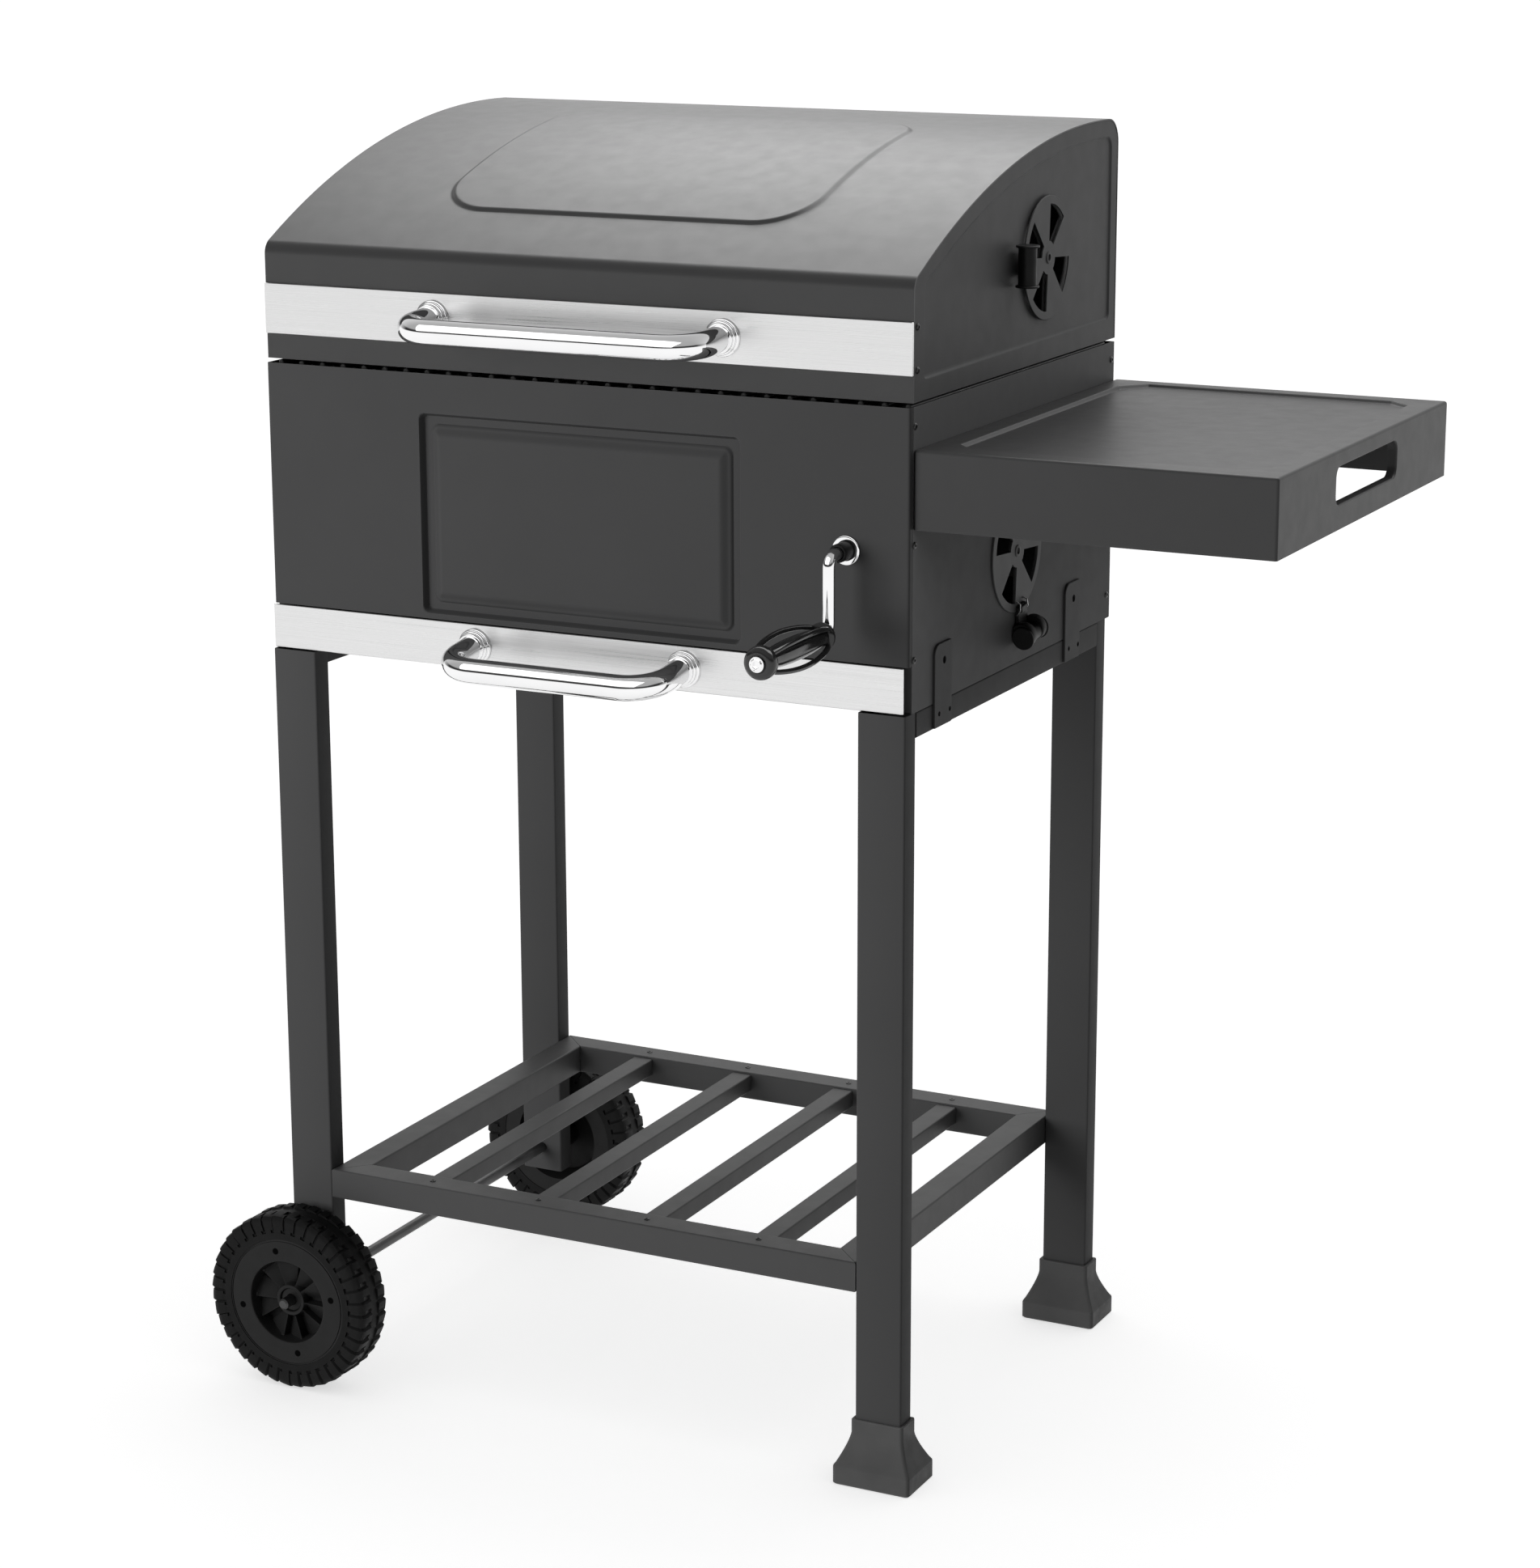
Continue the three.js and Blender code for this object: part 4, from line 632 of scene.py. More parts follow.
def build_wheel(end, outward):
    """outward is the direction of Y, 1 or -1, that the wheel's face points in."""
    low, high = box(f"wheel_{end}_tyre")
    body = f"wheel_{end}"
    centre = middle(low, high)[::2]
    full = (high.z - low.z) / 2
    width = high.y - low.y
    inner = high.y if outward < 0 else low.y

    def at(d):
        return inner + outward * d

    # Tread: a profile from the inner side wall to the outer one, turned and cut into lugs.
    half = [(58.6, 0.4), (64.5, 0.4), (66.4, 0.3), (66.8, 0.2), (68.4, 0.1), (68.8, 0)]
    half += [(full - 6, 0), (full - 3.4, 0.6), (full - 1, 2.6)]
    half += [(full, d) for d in (5.2, 11.9, 12.2, 13.8, 14.9)]
    half += [(full - 0.2, 15.3), (full - 0.2, width / 2)]
    profile = half + [(r, width - d) for r, d in half[-2::-1]]
    cuts = (0.0, 0.085, 0.1, 0.32, 0.34, 0.5, 0.585, 0.6, 0.82, 0.84)
    angles = [2 * math.pi * (lug + cut) / LUGS for lug in range(LUGS) for cut in cuts]
    loops = []
    for radius, d in profile + [profile[0]]:
        loop = []
        for angle in angles:
            r = tread_radius(angle, radius, d / width) if radius > LUG_START else radius
            loop.append(polar("y", centre, r, angle, at(d)))
        loops.append(loop)
    # Slits in the side walls between the lugs.
    for row, (radius, d) in enumerate(profile):
        if not LUG_START < radius < full - 2:
            continue
        side = -1 if d < width / 2 else 1
        slit = HOOK_SHARE if radius < 68.6 else SLIT_SHARE
        for i, angle in enumerate(angles):
            share = lug_share(angle, 0.0 if side > 0 else 0.5)
            depth = 1.9 if share < slit else 0.7 * (1 - share)
            loops[row][i].y -= side * outward * depth
    bm = bmesh.new()
    skin(bm, loops)
    tyre = [f"wheel_{end}_tyre"]
    piece(f"wheel_{end}_tread", bm, RUBBER, body, "black_plastic", tyre, smooth=28)

    # Rim: flat ring with a turned groove, dished centre with fan blades, hub with a recess.
    face, floor = width - 1.0, width - 14.0
    hub_top = floor + 7
    rows = [(58.3, 1), (58.3, face), (57.6, face), (57.4, face - 0.8), (56.6, face - 0.8)]
    rows += [(56.3, face), (39.4, face), (38.2, face - 0.4), (37.4, face - 1.6)]
    rows += [(36.8, floor + 6), (35.6, None), (30, None), (22, None), (16, None)]
    rows += [(14.4, hub_top - 0.8), (13.8, hub_top), (11.4, hub_top), (10.8, hub_top - 0.6)]
    rows += [(10.6, hub_top - 4), (5.4, hub_top - 4), (5.4, -6.3), (13, -6.3)]
    rows += [(13, floor - 6), (37, floor - 6), (43, 1), rows[0]]
    count = 180
    angles = [2 * math.pi * i / count for i in range(count)]
    loops = []
    for radius, d in rows:
        depths = [blade_depth(a, floor) if d is None else d for a in angles]
        loops.append([polar("y", centre, radius, a, at(w)) for a, w in zip(angles, depths)])
    bm = bmesh.new()
    skin(bm, loops)
    rim = [f"wheel_{end}_rim"]
    piece(f"wheel_{end}_hub", bm, PLASTIC, body, "black_plastic", rim, smooth=32)

    # The ring's four blind holes are near-black plugs sunk into it: painted shade of the holes.
    bm = bmesh.new()
    plug = [(3.0, face - 0.5), (3.0, face + 0.1), (2.8, face + 0.15), (0, face + 0.15)]
    for k in range(4):
        u, _, v = polar("y", centre, 47.6, math.radians(12 + 90 * k), 0)
        lathe(bm, "y", (u, v), [(r, at(d)) for r, d in plug], 20)
    piece(f"wheel_{end}_plugs", bm, HOLE_SHADE_BLACK, body, "gloss_plastic")

    bm = bmesh.new()
    nut_low, nut_high = box(f"axle_nut_{end}")
    start = nut_high.y if outward < 0 else nut_low.y
    cap = [(5.4, 3.9), (10.3, 3.9), (10.3, 2.6), (9.6, 2.2), (5.4, 2.2)]
    lathe(bm, "y", centre, [(r, start - outward * d) for r, d in cap], 40)
    stand_in(f"axle_nut_{end}", "cap", bm, PLASTIC, "stand", "zinc", smooth=32)


def build_axle():
    low, high = box("axle")
    ends = [(0, low.y), (3.6, low.y), (4.9, low.y + 1.3)]
    ends += [(4.9, high.y - 1.3), (3.6, high.y), (0, high.y)]
    bm = bmesh.new()
    lathe(bm, "y", middle(low, high)[::2], ends, 32)
    stand_in("axle", "rod", bm, AXLE_STEEL, "stand", "zinc")


# ---- firebox

SHEET = 1.2  # thickness of the sheet metal


def port_outlines(cy, cz):
    """The four openings of a port, which its slide repeats."""
    outlines = []
    for k in range(4):
        angle = 65 + 90 * k
        outer = arc(cy, cz, 45, angle - 21, angle + 21, 10)
        outlines.append(outer + arc(cy, cz, 14, angle + 21, angle - 21, 6))
    return outlines


def disc_centre(name):
    return middle(*box(f"{name}_disc"))[1:]


def build_front_panel():
    low, high = box("firebox_front_panel")
    front = low.y
    # The pressed panel: a step down at its edge, then a raised field.
    z0, z1 = 708.2, high.z - 33.1
    half_x, half_z, mid_z = high.x - 149.5, (z1 - z0) / 2, (z0 + z1) / 2
    zones_x = [(-half_x - 4, -half_x + 26), (half_x - 26, half_x + 4)]
    zones_z = [(z0 - 4, z0 + 26), (z1 - 26, z1 + 4)]
    bend, flange, fine, coarse = 2.0, 6.0, 1.0, 14
    xs = lines(low.x + 3, high.x - 3, zones_x, fine, coarse)
    zs = lines(low.z, high.z, zones_z, fine, coarse)
    # x, y and the sheet's outward direction
    across = [(low.x, front + y, -1, 0) for y in (flange, bend + 1)]
    for i in range(5):
        a = math.radians(180 + 90 * i / 4)
        nx, ny = math.cos(a), math.sin(a)
        across.append((low.x + bend + bend * nx, front + bend + bend * ny, nx, ny))
    bent = across[::-1]
    across = across + [(x, front, 0, -1) for x in xs]
    across += [(-x, y, -nx, ny) for x, y, nx, ny in bent]

    def depth(x, z):
        step = rounded_distance(x, z - mid_z, half_x, half_z, 6)
        rise = rounded_distance(x, z - mid_z, half_x - 9, half_z - 9, 8)
        return 6 * ease(-step / 3) - 2 * ease(-rise / 1.8) - 4 * ease(-(rise + 1.8) / 9)

    outer, inner = [], []
    for z in zs:
        outer.append([Vector((x, y - ny * depth(x, z), z)) for x, y, nx, ny in across])
        inner.append([
            Vector((x - nx * SHEET, y - ny * (SHEET + depth(x, z)), z)) for x, y, nx, ny in across
        ])
    bm = bmesh.new()
    sheet(bm, outer, inner)
    x, top, y0, y1 = high.x - 1.6, high.z - 4, front + SHEET, front + 17.2
    ledge = [(-x, y0), (x, y0), (x, y1), (-x, y1)]
    plate(bm, "z", ledge, [], top - SHEET, top)
    node = "firebox_front_panel"
    piece("firebox_front_pressing", bm, PAINT, "stand", "firebox_paint", [node], smooth=40)


def build_firebox_sides():
    ports = port_outlines(*disc_centre("firebox_damper"))
    screws = ((-206.5, 896), (-206.5, 801), (-206.5, 708), (209, 896), (208, 686))
    for side, sign in SIDES:
        node = f"firebox_{side}_panel"
        low, high = box(node)
        near, far = (low.x, high.x) if sign > 0 else (high.x, low.x)
        front, turned = low.y + 5.1, near - sign * 16
        outline = [(front, low.z), (high.y, low.z), (high.y, high.z), (front, high.z)]
        bm = bmesh.new()
        plate(bm, "x", outline, [p[::-1] for p in ports] if sign > 0 else [], near, far)
        # The sheet is turned in behind the drawer's front.
        inner = low.y + 6.3
        flange = [(turned, front), (near, front), (near, inner), (turned, inner)]
        plate(bm, "z", flange, [], low.z + 1, low.z + 38)
        # The side sheets take the darker copy of the paint, as painted shade.
        stand_in(node, "sheet", bm, SHADED_SIDE_PAINT, "stand", "firebox_paint", smooth=30)
        bm = bmesh.new()
        for y, z in screws:
            screw(bm, "x", y, z, far, sign, 2.9, 1.3)
        piece(f"firebox_{side}_screws", bm, SCREW_BLACK, "stand", "zinc")


def build_grates():
    """Each grate has 15 bars along Y on three cross bars."""
    radius = 2.5
    for side in ("left", "right"):
        node = f"cooking_grate_{side}"
        low, high = box(node)
        x0, x1 = low.x + radius, high.x - radius
        z = high.z - radius
        bar = [(0, low.y), (1.8, low.y), (radius, low.y + 0.8)]
        bar += [(radius, high.y - 0.8), (1.8, high.y), (0, high.y)]
        bm = bmesh.new()
        for i in range(15):
            lathe(bm, "y", (x0 + (x1 - x0) * i / 14, z), bar, 12)
        for y in (low.y + 20, (low.y + high.y) / 2, high.y - 20):
            lathe(bm, "x", (y, z - radius), [(0, x0), (2.4, x0), (2.4, x1), (0, x1)], 12)
        stand_in(node, "bars", bm, ENAMEL, "stand", "enamel")


def build_side_table():
    low, high = box("side_table")
    bend, corner, sink, slope = 2.6, 2.4, 3.0, 3.6
    cx, cy, _ = middle(low, high)
    hx, hy = (high.x - low.x) / 2, (high.y - low.y) / 2
    top, bottom = high.z, low.z
    pressed = [(321, -167), (317, 181), (337, 205), (559, 202)]
    pressed += [(579, 184), (581, -167), (562, -186), (339, -186)]
    octagon = round_outline(pressed, [3] * 8, 4)
    slot_low, slot_high, slot_half = bottom + 18.7, bottom + 18.7 + 33, 78.5
    corners = [(-1, slot_low), (1, slot_low), (1, slot_high), (-1, slot_high)]
    slot = round_outline([(cy + side * slot_half, z) for side, z in corners], [10] * 4, 8)

    def loop(shrink, z):
        points = rounded_loop(hx - shrink, hy - shrink, max(corner - shrink, 0.3))
        return [Vector((cx + u, cy + v, z)) for u, v in points]

    def shell(inset):
        """One surface of the sheet, inset from the outside. Returns its lower edge."""
        r, z_top, x_right = bend - inset, top - inset, cx + hx - inset
        loops = [loop(inset, bottom), loop(inset, top - bend)]
        for i in range(1, 5):
            a = math.radians(90 * i / 4)
            loops.append(loop(inset + r - r * math.cos(a), top - bend + r * math.sin(a)))
        rings = [[bm.verts.new(p) for p in ring] for ring in loops]
        count = len(rings[0])
        for a, b in zip(rings, rings[1:]):
            for i in range(count):
                j = (i + 1) % count
                quad = (a[i], a[j], b[j], b[i])
                on_right = all(v.co.x > x_right - 0.01 for v in quad)
                if a is rings[0] and on_right and abs(a[i].co.y - a[j].co.y) > 50:
                    # The right end's flat face, with the hand slot.
                    y0, y1 = sorted((a[i].co.y, a[j].co.y))
                    face = [(y0, bottom), (y1, bottom), (y1, top - bend), (y0, top - bend)]
                    fill(bm, [face, slot[::-1]], lambda u, v: Vector((x_right, u, v)))
                else:
                    bm.faces.new(quad)
        edge = [(v.co.x, v.co.y) for v in rings[-1]]
        fill(bm, [edge, octagon[::-1]], lambda u, v: Vector((u, v, z_top)))
        walls = []
        for share in (0, 0.25, 0.5, 0.75, 1):
            ring = offset(octagon, slope * share)
            walls.append([Vector((u, v, z_top - sink * ease(share))) for u, v in ring])
        skin(bm, walls)
        fill(bm, [offset(octagon, slope)], lambda u, v: Vector((u, v, z_top - sink)))
        return loops[0]

    bm = bmesh.new()
    skin(bm, [shell(0), shell(SHEET)])
    # The slot's edge is turned in.
    x, lip = high.x, offset(slot, 1.4)
    rings = [(slot, x), (offset(slot, 0.5), x - 0.2), (offset(slot, 1.1), x - 0.8)]
    rings += [(lip, x - 1.6), (lip, x - 8), (slot, x - 8), (slot, x - SHEET)]
    skin(bm, [[Vector((w, u, v)) for u, v in points] for points, w in rings])
    stand_in("side_table", "sheet", bm, TABLE_PAINT, "stand", "table_paint", smooth=35)


# ---- lid

class Lid:
    """The lid from the side: straight front, round shoulder, long arc, round corner, back."""

    def __init__(self):
        low, high = box("lid_shell")
        self.front, self.back, self.bottom, self.top = low.y, high.y, low.z, high.z
        self.left, self.right = low.x, high.x
        self.crest = self.back - 49
        run, drop = self.crest - self.front, self.top - self.bottom - 95.5
        self.radius = (run * run + drop * drop) / (2 * drop)
        self.middle = self.top - self.radius

    def profile(self, inset=0.0, coarse=False):
        """Points (y, z, outward y, outward z) from the front edge over the top to the back."""
        points = []
        radius, shoulder, corner = self.radius - inset, 13 - inset, 22 - inset
        front, back = self.front + inset, self.back - inset

        def arc_to(cy, cz, r, angles):
            for angle in angles:
                ny, nz = math.cos(angle), math.sin(angle)
                points.append((cy + r * ny, cz + r * nz, ny, nz))

        def steps(start, end):
            return [start + (end - start) * i / 8 for i in range(9)]

        turn = math.acos((front + shoulder - self.crest) / (radius - shoulder))
        shoulder_z = self.middle + (radius - shoulder) * math.sin(turn)
        for i in range(8):
            points.append((front, self.bottom + (shoulder_z - self.bottom) * i / 8, -1, 0))
        arc_to(front + shoulder, shoulder_z, shoulder, steps(math.pi, turn))
        end = math.acos((back - corner - self.crest) / (radius - corner))
        y_start = self.crest + radius * math.cos(turn)
        y_end = self.crest + radius * math.cos(end)
        zones = [] if coarse else [(-158, -98), (48, 94)]  # the pressed panel's ends
        ys = lines(y_start, y_end, zones, 1.4, 16)[1:-1]
        arc_to(self.crest, self.middle, radius, [math.acos((y - self.crest) / radius) for y in ys])
        corner_z = self.middle + (radius - corner) * math.sin(end)
        arc_to(back - corner, corner_z, corner, steps(end, 0))
        for i in range(7, -1, -1):
            points.append((back, self.bottom + (corner_z - self.bottom) * i / 8, 1, 0))
        return points


LID = Lid()


def lid_panel_height(x, y):
    """The raised panel on top of the lid: large round corners in front, smaller ones behind."""
    y0, y1, half = -151.5, 88, 174
    radius = 50 if y < (y0 + y1) / 2 else 34
    distance = rounded_distance(x, y - (y0 + y1) / 2, half, (y1 - y0) / 2, radius)
    return 2.4 * ease(-distance / 3.2)


def build_lid():
    xs = lines(LID.left, LID.right, [(-178, -120), (120, 178)], 1.4, 20)
    outer, inner = [], []
    for y, z, ny, nz in LID.profile():
        lifts = [lid_panel_height(x, y) if nz > 0.3 else 0 for x in xs]
        for row, inset in ((outer, 0), (inner, SHEET)):
            row.append([
                Vector((x, y + ny * (lift - inset), z + nz * (lift - inset)))
                for x, lift in zip(xs, lifts)
            ])
    bm = bmesh.new()
    sheet(bm, outer, inner)
    piece("lid_pressing", bm, LID_PAINT, "lid", "firebox_paint", ["lid_shell"], smooth=40)


def lid_end_press():
    """The sunk area of a lid end."""
    top = [(y, z) for y, z, _, nz in LID.profile(14.5, True) if nz > 0.5 and -176 < y < 180]
    corners = [(-192, 930.4), (-190.5, 1008), *top, (200, top[-1][1] - 0.4), (200, 932.6)]
    radii = [5, 9] + [0] * len(top) + [11, 6]
    return round_outline(corners, radii)[::-1]


def build_lid_ends():
    sink, wall = 1.6, 2.5
    ports = port_outlines(*disc_centre("lid_damper"))
    press = lid_end_press()
    floor = offset(press, wall)
    outline = [(y, z) for y, z, _, _ in LID.profile(1.5)][::-1]
    for side, sign in SIDES:
        node = f"lid_end_{side}"
        low, high = box(node)
        far, near = (high.x, low.x) if sign > 0 else (low.x, high.x)
        holes = [p[::-1] for p in ports] if sign > 0 else []
        bm = bmesh.new()
        for face in (far, near):
            fill(bm, [outline, press[::-1]], lambda u, v: Vector((face, u, v)))
            rings = []
            for share in (0, 0.25, 0.5, 0.75, 1):
                x = face - sign * sink * ease(share)
                rings.append([Vector((x, u, v)) for u, v in offset(press, wall * share)])
            skin(bm, rings)
            fill(bm, [floor, *holes], lambda u, v: Vector((face - sign * sink, u, v)))
        skin(bm, [[Vector((w, u, v)) for u, v in outline] for w in (near, far)])
        for hole in holes:
            skin(bm, [[Vector((w - sign * sink, u, v)) for u, v in hole] for w in (near, far)])
        # The lid ends take the lighter copy of the paint, as painted light.
        stand_in(node, "pressing", bm, LIT_END_PAINT, "lid", "firebox_paint", smooth=35)
        bm = bmesh.new()
        for z in (974, 940):
            screw(bm, "x", -205, z, sign * LID.right, sign, 2.8, 1.2)
        piece(f"lid_{side}_screws", bm, SCREW_BLACK, "lid", "zinc")


def build_strips():
    for node, body in (("lid_trim_strip", "lid"), ("drawer_trim_strip", "ash_drawer")):
        low, high = box(node)
        cx, _, cz = middle(low, high)
        loop = rounded_loop((high.x - low.x) / 2, (high.z - low.z) / 2, 0.8)
        bm = bmesh.new()
        plate(bm, "y", [(cx + u, cz + v) for u, v in loop], [], high.y, low.y, 0.5)
        stand_in(node, "plate", bm, STAINLESS, body, "stainless", smooth=50)


def build_handle(node, body, span, droop):
    """A bow handle between two stepped rosettes, which hangs a little lower than they sit."""
    bar, rosette_radius = 10.8, 15.5
    low, high = box(node)
    face, bar_y = high.y, low.y + bar
    foot_z = high.z - rosette_radius
    half = span / 2
    corners = [(-half, face - 5, foot_z), (-half, bar_y, foot_z - droop)]
    corners += [(-x, y, z) for x, y, z in corners[::-1]]
    bm = bmesh.new()
    tube(bm, fillet(corners, 30, 18), bar, 48)
    rosette = [(0, 0), (rosette_radius, 0), (rosette_radius, 1.8), (15.2, 2.4), (14.6, 2.8)]
    rosette += [(13.6, 2.8), (13.4, 3.3), (13.9, 3.6), (13.9, 5.2), (13.6, 5.8), (13, 6.1)]
    rosette += [(12.3, 6.1), (12.1, 6.6), (12.5, 6.9), (12.5, 8.2), (12.2, 8.7), (11.6, 9)]
    rosette += [(9, 9), (0, 9)]
    for x in (-half, half):
        lathe(bm, "y", (x, foot_z), [(r, face - d) for r, d in rosette], 48)
    stand_in(node, "tube", bm, CHROME, body, "chrome", smooth=50)


# ---- dampers

def build_damper(name, body, reach, angle):
    """A slide with its grip, whose roll is `reach` from the middle at an angle from +Y."""
    cy, cz = disc_centre(name)
    low, high = box(f"{name}_disc")
    near, far = low.x, high.x
    outline = arc(cy, cz, 52, 0, 360 - 360 / 96, 95)
    holes = [p[::-1] for p in port_outlines(cy, cz)]
    holes.append(arc(cy, cz, 2.6, 345, 0, 23))
    bm = bmesh.new()
    plate(bm, "x", outline, holes, near, far, 0.45)
    # The slide and its rivet take the lighter copy of the paint, as painted light.
    piece(f"{name}_plate", bm, LIT_END_PAINT, body, "firebox_paint", [f"{name}_disc"])
    rivet = [(5.2, -0.2), (5.2, 0.5), (4.6, 0.9), (3.0, 0.9), (2.6, -0.6), (0, -0.8)]
    bm = bmesh.new()
    lathe(bm, "x", (cy, cz), [(r, far + d) for r, d in rivet], 28)
    piece(f"{name}_rivet", bm, LIT_END_PAINT, body, "firebox_paint")

    turn = Matrix.Rotation(math.radians(angle), 4, "X")
    to_place = Matrix.Translation((0, cy, cz)) @ turn
    has_lobes = name == "firebox_damper"

    def clear_of_panel():
        """The roll is flattened where it would reach behind the slide."""
        for vertex in bm.verts:
            vertex.co.x = max(vertex.co.x, near + 0.2)

    # The grip is made with its roll along Z at +Y, then turned to its place.
    seat = far + 0.3
    axis_x = seat + 8.5
    bm = bmesh.new()
    roll = [(0, -17.4), (9.4, -17.4), (9.9, -16.9), (9.9, -15.9), (9.4, -15.5), (7.9, -15.4)]
    roll += [(7.7, -14), (7.6, 0)]
    roll += [(r, -w) for r, w in roll[-2::-1]]
    lathe(bm, "z", (axis_x, reach), roll, 40)
    clear_of_panel()
    neck = round_outline([(46.5, -8.5), (reach, -11), (reach, 11), (46.5, 8.5)], [3, 0.5, 0.5, 3])
    plate(bm, "x", neck, [], seat, seat + 2.4, 0.5)
    pad = round_outline([(47.5, -6), (53, -6), (53, 6), (47.5, 6)], [1] * 4)
    plate(bm, "x", pad, [], seat + 2, seat + 4.2, 0.6)
    if has_lobes:
        lobe = [(0, -4.2), (10, -4.2), (10.8, -3), (10.8, 3), (10, 4.2), (0, 4.2)]
        for z in (-10.8, 10.8):
            lathe(bm, "z", (axis_x - 1.6, reach - 1.5), [(r, z + w) for r, w in lobe], 32)
        clear_of_panel()
    bmesh.ops.transform(bm, matrix=to_place, verts=bm.verts)
    stand_in(f"{name}_grip", "roll", bm, PLASTIC, body, "black_plastic", smooth=35)
    if not has_lobes:
        return
    # Two small clips hold the grip to the slide.
    bm = bmesh.new()
    path = [(0.4, 44), (3.4, 45.5), (3.6, 50.5), (0.9, 54.6)]
    for tilt in (-9.5, 9.5):
        tab = bmesh.new()
        tube(tab, [Vector((far + out, y, 0)) for out, y in path], 1.7, 12, flat=0.5)
        tilted = Matrix.Rotation(math.radians(tilt), 3, "X")
        bmesh.ops.rotate(tab, cent=(0, 0, 0), matrix=tilted, verts=tab.verts)
        mesh = bpy.data.meshes.new("tab")
        tab.to_mesh(mesh)
        tab.free()
        bm.from_mesh(mesh)
        bpy.data.meshes.remove(mesh)
    bmesh.ops.transform(bm, matrix=to_place, verts=bm.verts)
    piece(f"{name}_clips", bm, STAINLESS, body, "zinc")


# ---- crank

def build_crank():
    low, high = box("crank_ring")
    cx, _, cz = middle(low, high)
    face, front = high.y, low.y
    ring = [(7.9, face), (12, face), (12, face - 0.9), (11.4, front + 0.1), (8.6, front)]
    ring += [(7.9, front + 0.5), (7.9, face)]
    bm = bmesh.new()
    lathe(bm, "y", (cx, cz), ring, 56)
    stand_in("crank_ring", "washer", bm, CHROME, "stand", "chrome", smooth=50)
    low, high = box("crank_bush")
    bush = [(5.6, high.y), (7.6, high.y), (7.6, low.y + 1.2), (7.2, low.y + 0.3)]
    bush += [(6.4, low.y), (5.6, low.y + 0.2), (5.6, high.y)]
    bm = bmesh.new()
    lathe(bm, "y", (cx, cz), bush, 48)
    stand_in("crank_bush", "sleeve", bm, PLASTIC, "stand", "black_plastic")

    low, high = box("crank_rod")
    arm_y, knob_z = -248.5, cz - 61.5
    corners = [(cx, high.y, cz), (cx, arm_y, cz), (cx, arm_y, knob_z), (cx, low.y, knob_z)]
    bm = bmesh.new()
    tube(bm, fillet(corners, 9, 12), 5.2, 32)
    stand_in("crank_rod", "bent", bm, CHROME, "crank", "chrome", smooth=50)

    # Grip: a waisted core with a collar at both ends, and four bowed ribs round it.
    low, high = box("crank_grip")
    back, front = high.y, low.y
    length = back - front
    bore = 5.6
    behind = [(bore, 0), (10, 0), (11, 0.8), (11.5, 2.4), (11.5, 4.2), (10.6, 5.2), (8, 6)]
    ahead = [(8, 12), (11.8, 11), (13.2, 9.4), (13.5, 7.6), (13.5, 4.6), (12.9, 2.4)]
    ahead += [(11.4, 0.8), (9.2, 0), (7.4, 0), (6.9, 0.5), (bore, 0.5)]
    profile = [(r, back - d) for r, d in behind]
    for i in range(1, 12):
        t = i / 12
        profile.append((7.0 + 2.9 * math.sin(math.pi * t) ** 0.8, back - 6 - (length - 18) * t))
    profile += [(r, front + d) for r, d in ahead] + profile[:1]
    bm = bmesh.new()
    lathe(bm, "y", (cx, knob_z), profile, 48)
    for k in range(4):
        angle = math.radians(45 + 90 * k)
        side = Vector((math.cos(angle), 0, math.sin(angle)))
        path = []
        for i in range(17):
            t = i / 16
            r = 8.9 + 8.4 * math.sin(math.pi * t) ** 0.72
            path.append(Vector((cx, back - 3.5 - (length - 11) * t, knob_z)) + side * r)
        tube(bm, path, 1.7, 14, flat=2.3)
    stand_in("crank_grip", "cage", bm, GLOSS, "crank_grip", "gloss_plastic", smooth=40)

    low, high = box("grip_bolt")
    head = [(0, 2.2), (2.8, 2.2), (2.9, 0.2), (3.4, 0), (4.2, 0), (4.9, 0.6), (5.0, 1.2)]
    head += [(6.2, 1.4)]
    profile = [(r, low.y + d) for r, d in head] + [(6.2, high.y), (0, high.y)]

    def hexagonal(angle, radius):
        """The socket in the bolt's head is a hexagon."""
        if radius > 3 or radius == 0:
            return radius
        sector = (angle + math.pi / 6) % (math.pi / 3) - math.pi / 6
        return radius * math.cos(math.pi / 6) / math.cos(sector) * 1.05

    bm = bmesh.new()
    lathe(bm, "y", (cx, knob_z), profile, 48, hexagonal)
    stand_in("grip_bolt", "head", bm, CHROME, "crank", "chrome", smooth=35)


# ---- carried over CAD nodes

def dress(node, material, bevel):
    """A CAD node that keeps its shape: rounded edges and a finished material."""
    thing = frame["nodes"][node]
    thing.data.materials.clear()
    thing.data.materials.append(material)
    weld = thing.modifiers.new("weld", "WELD")
    weld.merge_threshold = 0.00001
    edges = thing.modifiers.new("edges", "BEVEL")
    edges.width = bevel * MM
    edges.segments = 2
    edges.angle_limit = math.radians(40)
    edges.use_clamp_overlap = True


def build_hinge_screws():
    on_leaf, on_arm = bmesh.new(), bmesh.new()
    for side in ("left", "right"):
        low, high = box(f"hinge_leaf_{side}")
        arm_low, arm_high = box(f"lid_hinge_arm_{side}")
        for dx in (-20, 20):
            x = (low.x + high.x) / 2 + dx
            screw(on_leaf, "y", x, low.z + 12, low.y + 1.5, 1, 3.2, 1.5)
            screw(on_arm, "y", x, arm_high.z - 9, arm_low.y + 1.5, 1, 3.2, 1.5)
    piece("hinge_leaf_screws", on_leaf, SCREW_BLACK, "stand", "zinc")
    piece("hinge_arm_screws", on_arm, SCREW_BLACK, "lid", "zinc")


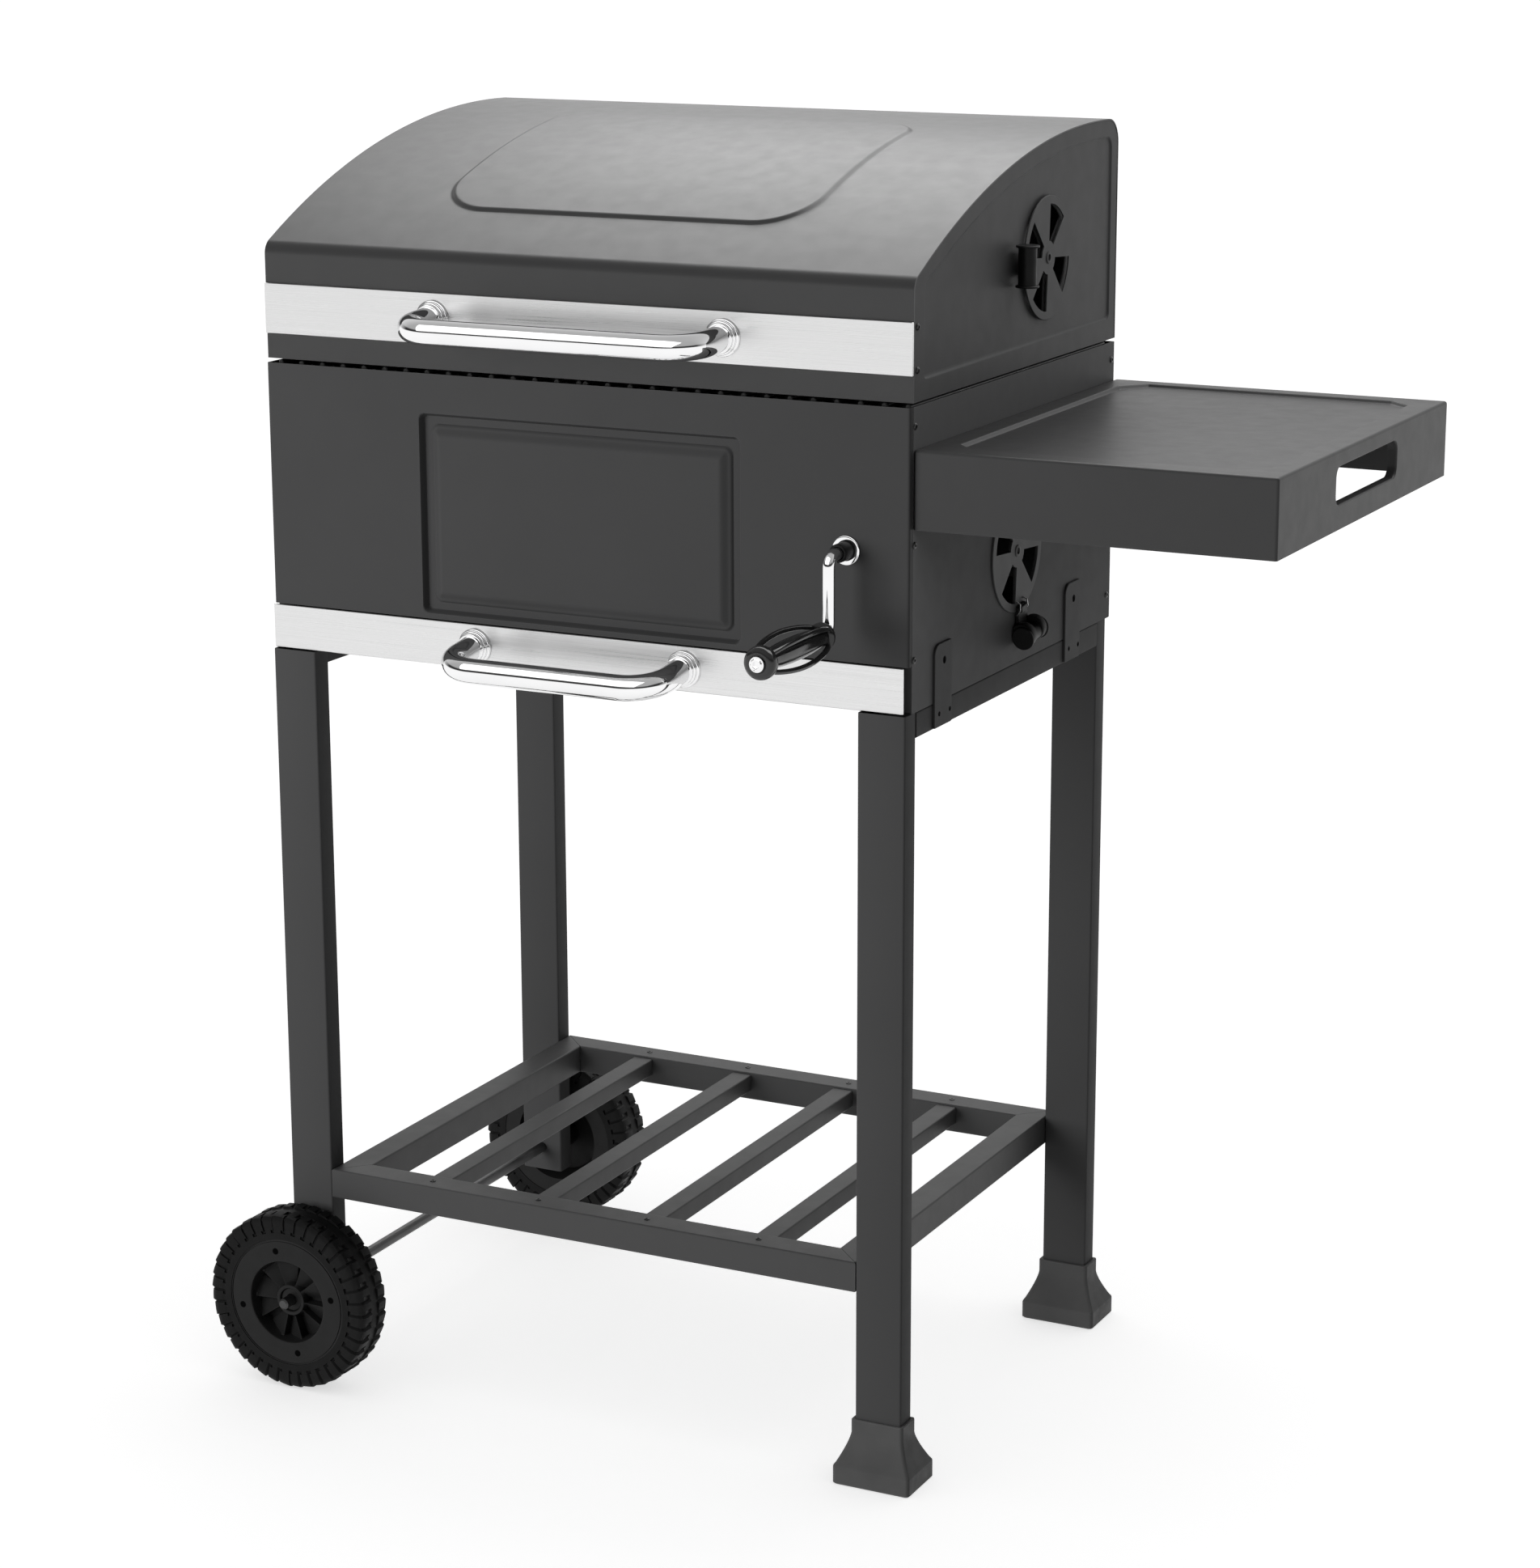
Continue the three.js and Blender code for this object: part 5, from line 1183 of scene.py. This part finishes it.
build_stand()
build_shelf()
build_feet()
build_brackets()
build_wheel("front", -1)
build_wheel("back", 1)
build_axle()
build_front_panel()
build_firebox_sides()
build_grates()
build_side_table()
build_lid()
build_lid_ends()
build_strips()
build_handle("lid_handle", "lid", 270, 3)
build_handle("drawer_handle", "ash_drawer", 198, 7)
build_damper("lid_damper", "lid_damper", 66.0, 180)
build_damper("firebox_damper", "firebox_damper", 72.0, -82)
build_crank()
build_hinge_screws()
for material, bevel, nodes in (
    (PAINT, 0.4, ("firebox_back_panel",)),
    (ENAMEL, 0.4, ("ash_drawer", "charcoal_pan")),
    (ZINC, 0.3, ("lift_carriage", "lift_guide_rod", "drawer_runner_left", "drawer_runner_right")),
    (ZINC, 0.3, ("hinge_leaf_left", "hinge_leaf_right")),
    (ZINC, 0.3, ("lid_hinge_arm_left", "lid_hinge_arm_right")),
):
    for node in nodes:
        dress(node, material, bevel)


# ---- floor, light and camera

def build_floor():
    bm = bmesh.new()
    bmesh.ops.create_grid(bm, x_segments=8, y_segments=8, size=60)
    mesh = bpy.data.meshes.new("floor")
    bm.to_mesh(mesh)
    bm.free()
    floor = bpy.data.objects.new("floor", mesh)
    floor.location.z = -0.0002
    scene.collection.objects.link(floor)
    shader = Shader("pale_floor", (0.9, 0.9, 0.9), 0.9, specular=0.0)
    shader.inputs["Emission Color"].default_value = (1, 1, 1, 1)
    shader.inputs["Emission Strength"].default_value = 0.62
    mesh.materials.append(shader.material)


def build_world():
    """Bright overhead and behind the grill, with a dark band above the horizon in front of it."""
    world = bpy.data.worlds.new("studio")
    scene.world = world
    world.use_nodes = True
    tree = world.node_tree
    link = tree.links.new
    split = add_node(tree, "SeparateXYZ")
    link(add_node(tree, "TexCoord").outputs["Generated"], split.inputs["Vector"])

    def ramp(axis, start, stops):
        """Levels along an axis, where a place is a share of the way from start to 1."""
        spread = add_node(tree, "MapRange", From_Min=start, From_Max=1.0)
        node = add_node(tree, "ValToRGB")
        link(split.outputs[axis], spread.inputs["Value"])
        link(spread.outputs["Result"], node.inputs["Fac"])
        elements = node.color_ramp.elements
        for i, (position, level) in enumerate(stops):
            stop = elements[i] if i < 2 else elements.new(position)
            stop.position, stop.color = position, (level, level, level, 1)
        return node.outputs["Color"]

    ends = [(0.0, 1.3), (1.0, 0.55)]
    front = ramp("Z", -0.1, ends + [(0.16, 1.2), (0.2, 0.03), (0.35, 0.05), (0.43, 0.5)])
    back = ramp("Z", -0.1, ends + [(0.2, 1.2), (0.27, 0.95), (0.6, 0.78)])
    behind = ramp("Y", -1.0, [(0.42, 0.0), (0.7, 1.0)])
    blend = add_node(tree, "Mix")
    blend.data_type = "RGBA"
    for output, i in ((behind, 0), (front, 6), (back, 7)):
        link(output, blend.inputs[i])
    background = tree.nodes["Background"]
    background.inputs["Strength"].default_value = 0.85
    link(blend.outputs[2], background.inputs["Color"])


def softbox(name, place, target, width, height, power, receivers):
    """An area light at a place, in metres, that lights only the receivers."""
    light = bpy.data.lights.new(name, "AREA")
    light.shape = "RECTANGLE"
    light.size, light.size_y = width, height
    light.energy = power
    thing = bpy.data.objects.new(name, light)
    thing.location = place
    aim = Vector(target) - Vector(place)
    thing.rotation_euler = aim.to_track_quat("-Z", "Y").to_euler()
    thing.light_linking.receiver_collection = receivers
    scene.collection.objects.link(thing)
    return thing


def build_light():
    """The lights leave out the floor. The chrome has its own, and so has the right side."""
    build_world()
    names = ("grill", "chrome", "matt", "side")
    grill, chrome, matt, side = (bpy.data.collections.new(name) for name in names)
    for thing in scene.objects:
        if thing.type == "MESH" and thing.name != "floor":
            grill.objects.link(thing)
    for thing in grill.objects:
        (chrome if thing.data.materials[0] == CHROME else matt).objects.link(thing)
    side.objects.link(bpy.data.objects["firebox_right_panel_sheet"])
    key = softbox("key_light", (-1.9, -3.0, 1.2), (-0.1, 0, 0.6), 2.2, 2.2, 300, grill)
    key.visible_glossy = False
    softbox("chrome_light", (-0.4, -1.7, 2.3), (-0.1, -0.3, 0.85), 3.2, 2.0, 24, chrome)
    softbox("top_light", (0.1, 1.15, 3.0), (-0.1, 0.1, 1.0), 4.2, 2.6, 124, matt)
    softbox("side_light", (2.3, -0.8, 1.9), (0.2, 0, 0.85), 1.5, 1.5, 110, side)


def build_camera():
    yaw, pitch, roll = 0.4637, -0.249, 0.0025
    focal, frame_height, sensor = 4758.75, 1938, 36  # the first two in pixels
    turn = Matrix.Rotation(yaw, 4, "Z") @ Matrix.Rotation(math.pi / 2 + pitch, 4, "X")
    camera = bpy.data.cameras.new("camera")
    camera.sensor_width = sensor
    camera.lens = focal * sensor / frame_height
    camera.clip_end = 200
    thing = bpy.data.objects.new("camera", camera)
    place = Vector((1537.16, -2936.69, 1368.5)) * MM + SHIFT
    thing.matrix_world = Matrix.Translation(place) @ turn @ Matrix.Rotation(-roll, 4, "Z")
    scene.collection.objects.link(thing)
    scene.camera = thing


build_floor()
build_light()
build_camera()
scene.view_settings.view_transform = "Standard"
